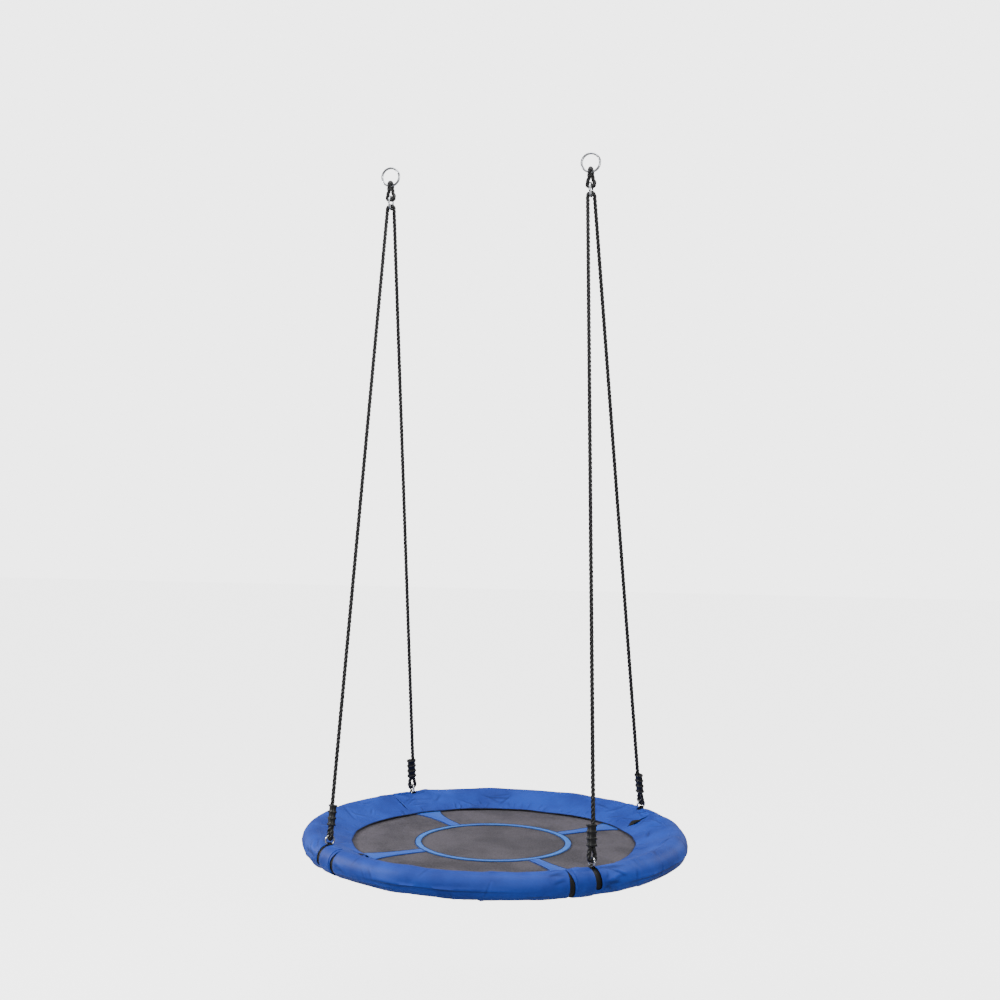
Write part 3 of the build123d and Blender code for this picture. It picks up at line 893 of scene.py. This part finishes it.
class RimSection:
    """The cover's section: a skirt from the seat up to the rim's tube, then right round the tube."""

    def __init__(self):
        gap = RIM_RADIUS - SKIRT_RADIUS
        slope = math.asin(PAD_RADIUS / math.hypot(gap, SKIRT_EDGE)) + math.atan2(-SKIRT_EDGE, gap)
        self.touch = slope + TURN / 4  # where the skirt leaves the tube, as an angle from its outside
        self.start = np.array([SKIRT_RADIUS, SKIRT_EDGE])
        leaves = np.array([math.cos(self.touch), math.sin(self.touch)])
        self.end = np.array([RIM_RADIUS, 0]) + PAD_RADIUS * leaves
        self.skirt = float(np.linalg.norm(self.end - self.start))
        self.total = self.skirt + TURN * PAD_RADIUS

    def at(self, reach):
        """Radius and height, outward direction and section angle, this far along from the skirt's edge."""
        reach = np.asarray(reach, dtype=float)
        share = np.clip(reach / self.skirt, 0, 1)[..., None]
        angle = self.touch - np.maximum(reach - self.skirt, 0) / PAD_RADIUS
        out = np.stack([np.cos(angle), np.sin(angle)], -1)
        flat = self.start + share * (self.end - self.start)
        centre = np.array([RIM_RADIUS, 0])
        place = np.where((reach < self.skirt)[..., None], flat, centre + PAD_RADIUS * out)
        return place, out, angle

    def reach_of(self, angle):
        """How far along the section a place on the tube is."""
        return self.skirt + (self.touch - angle) * PAD_RADIUS

    def points(self, direction, reach, lift):
        """Points in the swing's frame, at angles round the rim, lifted from the section by lift."""
        place, out, _ = self.at(reach)
        inward, upward = hem_sway(direction)
        slack = np.clip(1 - reach / self.skirt, 0, 1)
        radius = place[..., 0] + lift * out[..., 0] - inward * slack
        height = place[..., 1] + lift * out[..., 1] + upward * slack
        return np.stack([radius * np.cos(direction), radius * np.sin(direction), RIM_Z + height], -1)

    def outward(self, direction, reach):
        _, out, _ = self.at(reach)
        return np.stack([out[..., 0] * np.cos(direction), out[..., 0] * np.sin(direction), out[..., 1]], -1)


SECTION = RimSection()


def hem_sway(direction):
    """How far the skirt's inner edge strays inwards and upwards, because it was sewn by hand."""
    inward = 1.6 * np.sin(5 * direction + 1) + 1.1 * np.sin(9 * direction + 2.2)
    inward = inward + 0.6 * np.sin(23 * direction)
    upward = 0.5 * np.sin(7 * direction + 0.4) + 0.4 * np.sin(16 * direction + 1.1)
    return inward * MM, upward * MM


SKIRT_SLACK = {("left", "back"): 0.25}  # how far a seam gapes on the skirt, where not fully
SEAMS = [
    ("front", seam_direction("left", "front"), seam_direction("right", "front")),
    ("right", seam_direction("right", "front"), seam_direction("right", "back")),
    ("back", seam_direction("right", "back"), seam_direction("left", "back")),
    ("left", seam_direction("left", "back"), seam_direction("left", "front")),
]
TAB_NEAR = (SLIT_HALF + 1.5 * MM) / RIM_RADIUS
TAB_FAR = SEAM_OFFSET - 15 * MM / RIM_RADIUS
BAND_TOP = math.radians(105)
BAND_BOTTOM = math.radians(-145)
BAND_MARGIN = 0.06  # the cover lies calm this far past a tab, along the section and round the rim, as angles
TAB_MARGIN = 0.012
SEAM_SHUT = math.radians(-150)  # where an open seam closes, under the rim


def seam_half_width(reach, widest, slack=1.0):
    """Half the open seam's width along the section: pointed on the skirt, thin on top, wide outside."""
    shut = 0.25 * MM
    knots = [0, SECTION.skirt * 0.18, SECTION.skirt * 0.42, SECTION.skirt * 0.68, SECTION.skirt * 0.95]
    widths = [shut, shut, 1.25 * widest / 2 * slack, 0.6 * widest / 2 * slack, 0.16 * widest / 2]
    for degrees, share in ((75, 0.18), (45, 0.5), (15, 0.9), (-45, 1.0), (-85, 0.8), (-130, 0.3)):
        knots.append(SECTION.reach_of(math.radians(degrees)))
        widths.append(share * widest / 2)
    knots += [SECTION.reach_of(SEAM_SHUT), SECTION.total]
    widths += [shut, shut]
    return np.interp(reach, knots, widths)


class SWING_OT_cover(bpy.types.Operator):
    """Sews the padded rim's cover: four panels, their open seams, tabs, hem tape and stitching"""

    bl_idname = "swing.cover"
    bl_label = "Rim cover"
    bl_options = {"REGISTER", "UNDO"}

    def execute(self, context):
        sizes = context.scene.swing_sizes
        rows = []
        for number, (name, start, stop) in enumerate(SEAMS):
            span = (stop - start) % TURN
            rows += self.panel(sizes, number, name, start, span)
        for side, end in FEET:
            rows += self.tab(side, end)
            self.seam_tape(sizes, side, end)
        stitching = stitches("cover_stitching", rows)
        ride_saucer(stitching, "cover")
        self.hem()
        return {"FINISHED"}

    def gape(self, sizes, seam, reach):
        """How far the cloth draws back from a seam: before it and after it round the rim."""
        nearest = min(FEET, key=lambda foot: abs(math.remainder(seam_direction(*foot) - seam, TURN)))
        half = seam_half_width(reach, sizes.seam_opening, SKIRT_SLACK.get(nearest, 1.0))
        strap_is_before = SIDES[nearest[0]] < 0
        on_tube = np.clip((reach - SECTION.skirt) / (20 * MM), 0, 1)
        lean = 0.55 * on_tube * (1 if strap_is_before else -1)  # it gapes more beside the tab
        return half * (1 + lean), half * (1 - lean)

    def feet_in(self, start, span):
        """Angle from the panel's start to each foot that it holds."""
        turns = [(foot_direction(side, end) - start) % TURN for side, end in FEET]
        return [turn for turn in turns if turn < span]

    def folds(self, number, along, reach, span, feet, height):
        """How far the cloth stands out, and the painted shade and highlights that go with it: soft folds from
        the straps, long creases and puckers at the hem.
        """
        draw = np.random.default_rng(40 + number)
        length = span * RIM_RADIUS
        lift = np.zeros(np.broadcast(along, reach).shape)
        shade = np.zeros_like(lift)
        slit_mid = (SECTION.reach_of(SLIT_TOP) + SECTION.reach_of(SLIT_LOW)) / 2

        def crease(a, r, turn, long, wide, tall):
            """Adds a fold centred at (a, r) that runs in this direction and fades at both ends."""
            nonlocal lift, shade
            da, dr = along - a, reach - r
            lengthwise = da * math.cos(turn) + dr * math.sin(turn)
            sideways = dr * math.cos(turn) - da * math.sin(turn)
            bend = sideways - min(0.12 * long, 8 * MM) * (lengthwise / long) ** 2
            fade = np.clip(1 - (lengthwise / (long / 2)) ** 2, 0, 1) ** 1.5
            ridge = np.exp(-np.sqrt((bend / wide) ** 2 + 0.15) * 1.6)
            valley = np.exp(-(((bend - 2.1 * wide) / (1.3 * wide)) ** 2))
            lift += tall * fade * (1.7 * ridge - 0.35 * valley)
            # Painted light: a painted highlight along each fold's crest and a painted shadow line in the
            # crease beside it.
            fine = 0.55 * wide
            painted_crest_highlight = np.exp(-((bend / fine) ** 2))
            painted_crease_shadow = np.exp(-(((bend - 1.5 * wide) / fine) ** 2))
            shade += tall / height * fade * (0.5 * painted_crest_highlight - 1.9 * painted_crease_shadow)

        for foot in feet:  # pulls fanning from each strap
            for way in (-1, 1):
                for _ in range(7):
                    turn = math.radians(draw.uniform(-50, 50))
                    long = draw.uniform(35, 95) * MM
                    a = foot * RIM_RADIUS + way * (SLIT_HALF + 4 * MM + long * 0.45)
                    r = slit_mid + draw.uniform(-1, 1) * 34 * MM + math.sin(turn) * way * long / 2
                    tall = height * draw.uniform(0.35, 0.8)
                    crease(a, r, turn * way, long, draw.uniform(3.2, 6.0) * MM, tall)
        for end in (0, 1):  # pulls from the seams
            for _ in range(6):
                long = draw.uniform(30, 70) * MM
                a = end * length + (1 - 2 * end) * (6 * MM + long * 0.5)
                r = SECTION.skirt * draw.uniform(0.2, 2.2)
                crease(a, r, math.radians(draw.uniform(-30, 30)), long, 4 * MM, height * 0.45)
        for _ in range(int(length / (42 * MM))):  # gathers across the tube
            a, r = draw.uniform(0, length), SECTION.skirt + draw.uniform(0.1, 1) * TURN * PAD_RADIUS * 0.7
            turn = math.radians(draw.choice([90, 72, 108, 60, 120]) + draw.uniform(-8, 8))
            crease(a, r, turn, draw.uniform(25, 60) * MM, draw.uniform(3.2, 6) * MM, height * 0.38)
        for _ in range(int(length / (95 * MM))):  # long creases along the tube's side
            a = draw.uniform(0, length)
            r = SECTION.reach_of(math.radians(draw.uniform(-42, 8)))
            turn = math.radians(draw.uniform(-4, 4))
            crease(a, r, turn, draw.uniform(80, 200) * MM, 3.6 * MM, height * 0.42)
        side = SECTION.reach_of(math.radians(-4))  # the one crease that runs most of the panel's length
        crease(length * 0.5, side, 0.0, min(0.5, length * 0.8), 2.4 * MM, height * 0.8)
        for _ in range(int(length / (30 * MM))):  # puckers where the skirt meets its hem
            a = draw.uniform(0, length)
            r = draw.uniform(2, 26) * MM
            turn = math.radians(90 + draw.uniform(-24, 24))
            crease(a, r, turn, draw.uniform(22, 50) * MM, draw.uniform(3, 5.5) * MM, height * 0.36)
        for _ in range(int(length / (70 * MM))):  # slack lying diagonally on the skirt
            a, r = draw.uniform(0, length), SECTION.skirt * draw.uniform(0.2, 0.95)
            turn = math.radians(draw.uniform(-60, 60))
            crease(a, r, turn, draw.uniform(50, 120) * MM, draw.uniform(3.6, 8) * MM, height * 0.5)
        for _ in range(5):  # the foam's own slow unevenness
            wave = draw.uniform(90, 260) * MM
            lift += 0.16 * height * np.sin(TURN * along / wave + draw.uniform(0, TURN) + reach / (60 * MM))
        return lift, np.clip(shade, -1, 0.7)

    def panel(self, sizes, number, name, start, span):
        step = 2.6 * MM
        feet = self.feet_in(start, span)
        slit_half = SLIT_HALF / RIM_RADIUS
        marks = [0, span]
        for foot in feet:
            marks += [foot - slit_half, foot + slit_half]
        marks.sort()
        turns = [0.0]
        for low, high in zip(marks, marks[1:]):
            count = max(2, round((high - low) * RIM_RADIUS / step))
            turns += list(np.linspace(low, high, count + 1)[1:])
        turns = np.array(turns)
        stops = [0, SECTION.skirt - SLIT_ABOVE, SECTION.reach_of(SLIT_LOW), SECTION.total - 0.6 * MM]
        reaches = [0.0]
        for low, high in zip(stops, stops[1:]):
            count = round((high - low) / step)
            reaches += list(np.linspace(low, high, count + 1)[1:])
        reaches = np.array(reaches)
        turn, reach = np.meshgrid(turns, reaches, indexing="ij")
        along = turn * RIM_RADIUS

        lift, shade = self.folds(number, along, reach, span, feet, sizes.wrinkle_height)
        lift = np.clip(lift, -0.3 * MM, 1.2 * sizes.wrinkle_height)
        lift = lift - 1.4 * MM * np.sin(np.pi * np.clip(reach / SECTION.skirt, 0, 1))  # the skirt dips
        edge = np.minimum(along, span * RIM_RADIUS - along)
        calm = np.clip(edge / (9 * MM), 0, 1)
        tabs = np.ones_like(turn)
        _, _, angle = SECTION.at(reach)
        on_band = (angle < BAND_TOP + BAND_MARGIN) & (angle > BAND_BOTTOM - BAND_MARGIN)
        for side, end in FEET:
            near, far = sorted(-SIDES[side] * d for d in (TAB_NEAR - TAB_MARGIN, TAB_FAR + TAB_MARGIN))
            away = (foot_direction(side, end) - start + turn * 0) % TURN
            inside = (turn > away + near) & (turn < away + far)
            tabs[inside & on_band & (reach > SECTION.skirt)] = 0
        for foot in feet:
            beside = np.clip((np.abs(turn - foot) * RIM_RADIUS - SLIT_HALF) / (6 * MM), 0, 1)
            calm = calm * np.where((reach > stops[1] - 6 * MM) & (reach < stops[2] + 6 * MM), beside, 1)
        calm = calm * np.clip(reach / (5 * MM), 0, 1) * np.clip((SECTION.total - reach) / (8 * MM), 0, 1)
        lift = lift * calm * tabs
        shade = shade * calm * tabs
        lip = 0.5 * MM * np.exp(-((edge - 1.2 * MM) / (1.6 * MM)) ** 2)  # the seam's turned edge
        lift = lift + lip * tabs

        first, second = (self.gape(sizes, start + place_of, reach) for place_of in (0, span))
        near_start = np.clip(1 - along / (30 * MM), 0, 1) ** 1.5 * first[1]
        near_stop = np.clip(1 - (span * RIM_RADIUS - along) / (30 * MM), 0, 1) ** 1.5 * second[0]
        place, _, _ = SECTION.at(reach)
        pinch = np.zeros_like(turn)  # the slit narrows to a round end
        to_end = np.minimum(stops[2] - reach, reach - stops[1])
        narrow = 1 - np.sqrt(np.clip(1 - (1 - np.clip(to_end / SLIT_HALF, 0, 1)) ** 2, 0, 1))
        for foot in feet:
            off = (turn - foot) * RIM_RADIUS
            fade = np.clip(1 - (np.abs(off) - SLIT_HALF) / (14 * MM), 0, 1)
            pinch -= np.sign(off) * narrow * (SLIT_HALF - 1.2 * MM) * fade * (to_end > -0.1 * MM)
        direction = start + turn + (near_start - near_stop + pinch) / place[..., 0]
        grid = SECTION.points(direction, reach, lift)
        uv = np.stack([along, reach], -1)
        keep = np.ones((len(turns) - 1, len(reaches) - 1), dtype=bool)
        mid_turn = (turns[1:] + turns[:-1]) / 2
        mid_reach = (reaches[1:] + reaches[:-1]) / 2
        for foot in feet:
            across = np.abs(mid_turn - foot) < slit_half
            within = (mid_reach > stops[1]) & (mid_reach < stops[2])
            keep &= ~(across[:, None] & within[None, :])
        points, faces, corner_uv = net(grid, uv, keep=keep)
        points, faces, used = drop_loose(points, faces)
        faces, corner_uv = flipped(faces, corner_uv)
        panel = new_piece(
            f"cloth_panel_{name}", points, faces.tolist(), corner_uv, "oxford polyester woven", 70
        )
        # The fold attribute holds painted shade in the creases and painted highlights on the crests, which
        # the cloth's colour takes up.
        painted_fold_light = panel.data.attributes.new("fold", "FLOAT", "POINT")
        painted_fold_light.data.foreach_set("value", shade.ravel()[used])
        thicken = panel.modifiers.new("cloth thickness", "SOLIDIFY")
        thicken.thickness = sizes.cover_thickness
        thicken.offset = -1
        ride_saucer(panel, "cover", f"cover_panel_{name}")

        rows = []
        inset = 4.5 * MM
        for from_edge in (turns[0], turns[-1]):
            sign = 1 if from_edge == turns[0] else -1
            run = np.arange(6 * MM, SECTION.reach_of(SEAM_SHUT), 2 * MM)
            radius = SECTION.at(run)[0][:, 0]
            edge_at = self.gape(sizes, start + from_edge, run)[1 if sign > 0 else 0]
            drawn = (1 - inset / (30 * MM)) ** 1.5
            way = start + from_edge + sign * (edge_at * drawn + inset) / radius
            rows.append((SECTION.points(way, run, 0.0), SECTION.outward(way, run)))
        ways = np.arange(start + 0.02, start + span - 0.02, 0.004)
        runs = np.full_like(ways, 3.5 * MM)
        rows.append((SECTION.points(ways, runs, 0.1 * MM), SECTION.outward(ways, runs)))
        return rows

    def tab(self, side, end):
        """The doubled patch between a strap's slit and the open seam."""
        foot = foot_direction(side, end)
        near, far = sorted(-SIDES[side] * d for d in (TAB_NEAR, TAB_FAR))
        turns = np.linspace(foot + near, foot + far, 22)
        reaches = np.linspace(SECTION.reach_of(BAND_TOP), SECTION.reach_of(BAND_BOTTOM), 68)
        turn, reach = np.meshgrid(turns, reaches, indexing="ij")
        from_edge = np.minimum(turn - turns[0], turns[-1] - turn) * RIM_RADIUS
        from_end = np.minimum(reach - reaches[0], reaches[-1] - reach)
        inset = np.minimum(from_edge, from_end)
        draw = np.random.default_rng(7 + 2 * ENDS[end] + SIDES[side])
        puff = 0.35 * MM * np.sin(reach / (5.5 * MM) + draw.uniform(0, 6))
        puff = puff * np.sin(turn * 60 + draw.uniform(0, 6))
        lift = 1.1 * MM + (0.3 * MM + puff) * np.clip(inset / (6 * MM), 0, 1)
        grid = SECTION.points(turn, reach, lift)
        uv = np.stack([turn * RIM_RADIUS, reach], -1)
        points, faces, corner_uv = net(grid, uv)
        faces, corner_uv = flipped(faces, corner_uv)
        tab = new_piece(
            f"doubled_tab_{side}_{end}", points, faces.tolist(), corner_uv, "oxford polyester doubled", 70
        )
        thicken = tab.modifiers.new("doubled cloth", "SOLIDIFY")
        thicken.thickness = 1.0 * MM
        thicken.offset = -1
        ride_saucer(tab, "tab", f"strap_tab_{side}_{end}")
        inset = 2.6 * MM
        low, high = turns[0] + inset / RIM_RADIUS, turns[-1] - inset / RIM_RADIUS
        run = np.arange(reaches[0] + inset, reaches[-1] - inset, 2 * MM)
        across = np.linspace(low, high, 12)
        rows = []
        for way, reach in (
            (np.full_like(run, low), run),
            (np.full_like(run, high), run),
            (across, np.full_like(across, run[0])),
            (across, np.full_like(across, run[-1])),
        ):
            rows.append((SECTION.points(way, reach, 1.35 * MM), SECTION.outward(way, reach)))
        return rows

    def seam_tape(self, sizes, side, end):
        """Black tape under an open seam, from the skirt round to the rim's underside."""
        seam = seam_direction(side, end)
        run = np.arange(SECTION.skirt * 0.16, SECTION.reach_of(BAND_BOTTOM - 0.1), 2.5 * MM)
        slack = SKIRT_SLACK.get((side, end), 1.0)
        bulge = np.sin(np.pi * np.clip((run / SECTION.skirt - 0.2) / 0.5, 0, 1)) * slack
        dip = 1.2 * MM * np.sin(np.pi * np.clip(run / SECTION.skirt, 0, 1))
        depth = -1.5 * MM - dip + TAPE_BULGE * bulge
        line = SECTION.points(np.full_like(run, seam), run, depth)
        out = SECTION.outward(np.full_like(run, seam), run)
        sideways = np.broadcast_to(np.array(polar(1, seam + TURN / 4, 0)), line.shape)
        hidden = TAPE_HIDDEN * (1 - np.clip(1.6 * bulge, 0, 1))
        width = 2.4 * seam_half_width(run, sizes.seam_opening, slack) + hidden
        flat = np.array(ribbon_outline(1.0, 0.1))
        outline = flat[None] * np.stack([width, np.full_like(width, 8 * MM)], -1)[:, None, :]
        tape = new_piece(
            f"seam_tape_{side}_{end}", *sweep(line, sideways, out, outline), "polypropylene webbing woven", 60
        )
        ride_saucer(tape, "binding", f"seam_binding_{side}_{end}")

    def hem(self):
        """Tape that wraps the skirt's inner edge."""
        radius = SKIRT_RADIUS - 1.2 * MM
        line, out, axis = ring_of(radius, 720, (0, 0, PIPING_Z), (1, 0, 0), (0, 1, 0))
        turn = np.linspace(0, TURN, 720, endpoint=False)
        inward, upward = hem_sway(turn)
        line = line - out * inward[:, None] + axis * upward[:, None]
        hem = new_piece(
            "hem_tape",
            *sweep(line, out, axis, oval(3.6 * MM, 2.4 * MM), closed=True),
            "polyester edge tape woven",
            80,
        )
        ride_saucer(hem, "piping", "skirt_piping")


class SWING_OT_seat(bpy.types.Operator):
    """Makes the seat: the mat, the ring and spokes sewn on it, and their edge tapes"""

    bl_idname = "swing.seat"
    bl_label = "Seat"
    bl_options = {"REGISTER", "UNDO"}

    def sag(self, sizes, radius):
        return -sizes.mat_sag * (1 - np.clip(radius / MAT_RADIUS, 0, 1) ** 2)

    def ripple(self, x, y):
        """Faint pulls in the stretched mat."""
        draw = np.random.default_rng(5)
        lift = np.zeros_like(x)
        for _ in range(26):
            turn = draw.uniform(0, TURN)
            radius = draw.uniform(0.1, 0.42)
            cx, cy = radius * math.cos(turn), radius * math.sin(turn)
            way = turn + draw.uniform(-0.7, 0.7)
            lengthwise = (x - cx) * math.cos(way) + (y - cy) * math.sin(way)
            sideways = (y - cy) * math.cos(way) - (x - cx) * math.sin(way)
            fade = np.exp(-((lengthwise / draw.uniform(0.03, 0.07)) ** 2))
            tall = draw.uniform(0.3, 0.7) * MM
            lift += tall * fade * np.exp(-((sideways / draw.uniform(0.004, 0.009)) ** 2))
        return lift

    def execute(self, context):
        sizes = context.scene.swing_sizes
        self.mat(sizes)
        rows = self.centre_ring(sizes)
        for side, end in FEET:
            rows += self.spoke(sizes, side, end)
        stitching = stitches("seat_stitching", rows)
        ride_saucer(stitching, "ring_band")
        return {"FINISHED"}

    def mat(self, sizes):
        radii = np.concatenate([np.arange(2 * MM, MAT_RADIUS - 2 * MM, 5 * MM), [MAT_RADIUS - 0.4 * MM]])
        turns = np.linspace(0, TURN, 361)[:-1]
        radius, turn = np.meshgrid(radii, turns, indexing="ij")
        x, y = radius * np.cos(turn), radius * np.sin(turn)
        hold = np.clip((MAT_RADIUS - radius) / 0.05, 0, 1)
        z = MAT_TOP + self.sag(sizes, radius) + (self.ripple(x, y) - 0.5 * MM) * hold
        lower = np.stack([x, y, z - MAT_DEPTH * 0.6], -1)
        grid = np.concatenate([lower, np.stack([x, y, z], -1)[::-1]], 0)
        flat = np.concatenate([grid[..., :2], grid[:, :1, :2]], 1)
        points, faces, corner_uv = net(grid, flat, wrap_columns=True)
        faces, corner_uv = flipped(faces, corner_uv)
        count = grid.shape[1]
        faces = [*faces.tolist(), list(range(count))[::-1], list(range(len(points) - count, len(points)))]
        corner_uv = np.vstack([corner_uv, grid[0, ::-1, :2], grid[-1, :, :2]])
        mat = new_piece("woven_mat", points, faces, corner_uv, "polypropylene mat cloth woven", 50)
        ride_saucer(mat, "mat", "seat_mat")

    def band_z(self, sizes, radius):
        return MAT_TOP + 0.2 * MM + self.sag(sizes, radius)

    def centre_ring(self, sizes):
        middle = CENTRE_OUTER - sizes.ring_band / 2
        count = 240
        line, out, axis = ring_of(middle, count, (0, 0, 0), (1, 0, 0), (0, 1, 0))
        line[:, 2] = self.band_z(sizes, middle) + BAND_DEPTH / 2
        ring = new_piece(
            "ring_band",
            *sweep(line, out, axis, ribbon_outline(sizes.ring_band, BAND_DEPTH), closed=True),
            "polyester band woven",
            60,
        )
        ride_saucer(ring, "ring_band", "centre_ring")
        parts, rows = [], []
        inset = sizes.edge_width / 2
        for radius in (CENTRE_OUTER - inset, CENTRE_OUTER - sizes.ring_band + inset):
            line, out, axis = ring_of(radius, count, (0, 0, 0), (1, 0, 0), (0, 1, 0))
            line[:, 2] = self.band_z(sizes, radius) + BAND_DEPTH
            parts.append(sweep(line, out, axis, oval(sizes.edge_width, 1.1 * MM, 10), closed=True))
        tape = new_piece("ring_edge_tape", *joined(parts), "polyester edge tape woven", 80)
        ride_saucer(tape, "piping")
        for radius in (middle - 5.2 * MM, middle + 5.2 * MM):
            line, out, axis = ring_of(radius, 720, (0, 0, 0), (1, 0, 0), (0, 1, 0))
            line[:, 2] = self.band_z(sizes, radius) + BAND_DEPTH
            rows.append((line, axis))
        return rows

    def spoke(self, sizes, side, end):
        angle = foot_direction(side, end)
        out, sideways = np.array(polar(1, angle, 0)), np.array(polar(1, angle + TURN / 4, 0))
        start, stop = CENTRE_OUTER + 0.4 * MM, SKIRT_RADIUS + 6 * MM
        shares = np.linspace(0, 1, 40)
        reach = start + (stop - start) * shares
        half = sizes.spoke_width / 2 + (sizes.spoke_flare - sizes.spoke_width) / 2 * shares**3.2
        line = reach[:, None] * out
        line[:, 2] = self.band_z(sizes, reach) + BAND_DEPTH / 2
        across = np.broadcast_to(sideways, line.shape)
        up = np.broadcast_to((0.0, 0.0, 1.0), line.shape)
        flat = np.array(ribbon_outline(1.0, 0.02))
        outline = flat[None] * np.stack([2 * half, np.full_like(half, BAND_DEPTH / 0.02)], -1)[:, None, :]
        spoke = new_piece(
            f"cloth_spoke_{side}_{end}", *sweep(line, across, up, outline), "oxford polyester spoke", 60
        )
        ride_saucer(spoke, "spoke", f"spoke_{side}_{end}")
        flat = (stop - start, sizes.spoke_flare)
        parts, rows = [], []
        for sign in (-1, 1):
            edge = line + across * (sign * (half - sizes.edge_width / 2))[:, None] + up * BAND_DEPTH / 2
            parts.append(sweep(edge, across, up, oval(sizes.edge_width, 1.1 * MM, 10)))
            inner = line + across * (sign * (half - 5.5 * MM))[:, None] + up * BAND_DEPTH / 2
            rows.append((inner, up))
        tape = new_piece(f"spoke_edge_tape_{side}_{end}", *joined(parts), "polyester edge tape woven", 80)
        ride_saucer(tape, "piping")
        return rows


class SWING_OT_frame(bpy.types.Operator):
    """Gives the hoop, its foam, its bolts and its nuts their finishes"""

    bl_idname = "swing.frame"
    bl_label = "Hoop and foam"
    bl_options = {"REGISTER", "UNDO"}

    def execute(self, context):
        finishes = {
            "frame_tube": "steel tube galvanised",
            "foam_sleeve": "polyethylene foam extruded",
            "frame_bolts": "steel zinc plated",
            "frame_nuts": "steel zinc plated",
        }
        for name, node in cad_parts.items():
            for start, finish in finishes.items():
                if name.startswith(start):
                    for slot in node.material_slots:
                        slot.material = finish_named(finish)
        return {"FINISHED"}


class SWING_PT_panel(bpy.types.Panel):
    """Lists the swing's makers, sizes and colours"""

    bl_idname = "SWING_PT_panel"
    bl_label = "Saucer nest swing"
    bl_space_type = "VIEW_3D"
    bl_region_type = "UI"
    bl_category = "Swing"

    def draw(self, context):
        for maker in MAKERS:
            self.layout.operator(maker.bl_idname)
        for group in (context.scene.swing_sizes, context.scene.swing_colours):
            column = self.layout.column(align=True)
            for name in group.__annotations__:
                column.prop(group, name)


MAKERS = [
    SWING_OT_stage,
    SWING_OT_ropes,
    SWING_OT_rings,
    SWING_OT_cuffs,
    SWING_OT_straps,
    SWING_OT_cover,
    SWING_OT_seat,
    SWING_OT_frame,
]


def register():
    for group in (SwingSizes, SwingColours, *MAKERS, SWING_PT_panel):
        bpy.utils.register_class(group)
    bpy.types.Scene.swing_sizes = bpy.props.PointerProperty(type=SwingSizes)
    bpy.types.Scene.swing_colours = bpy.props.PointerProperty(type=SwingColours)


def unregister():
    del bpy.types.Scene.swing_colours
    del bpy.types.Scene.swing_sizes
    for group in reversed((SwingSizes, SwingColours, *MAKERS, SWING_PT_panel)):
        bpy.utils.unregister_class(group)


def main():
    register()
    for maker in MAKERS:
        group, name = maker.bl_idname.split(".")
        getattr(getattr(bpy.ops, group), name)()


if __name__ == "__main__":
    main()
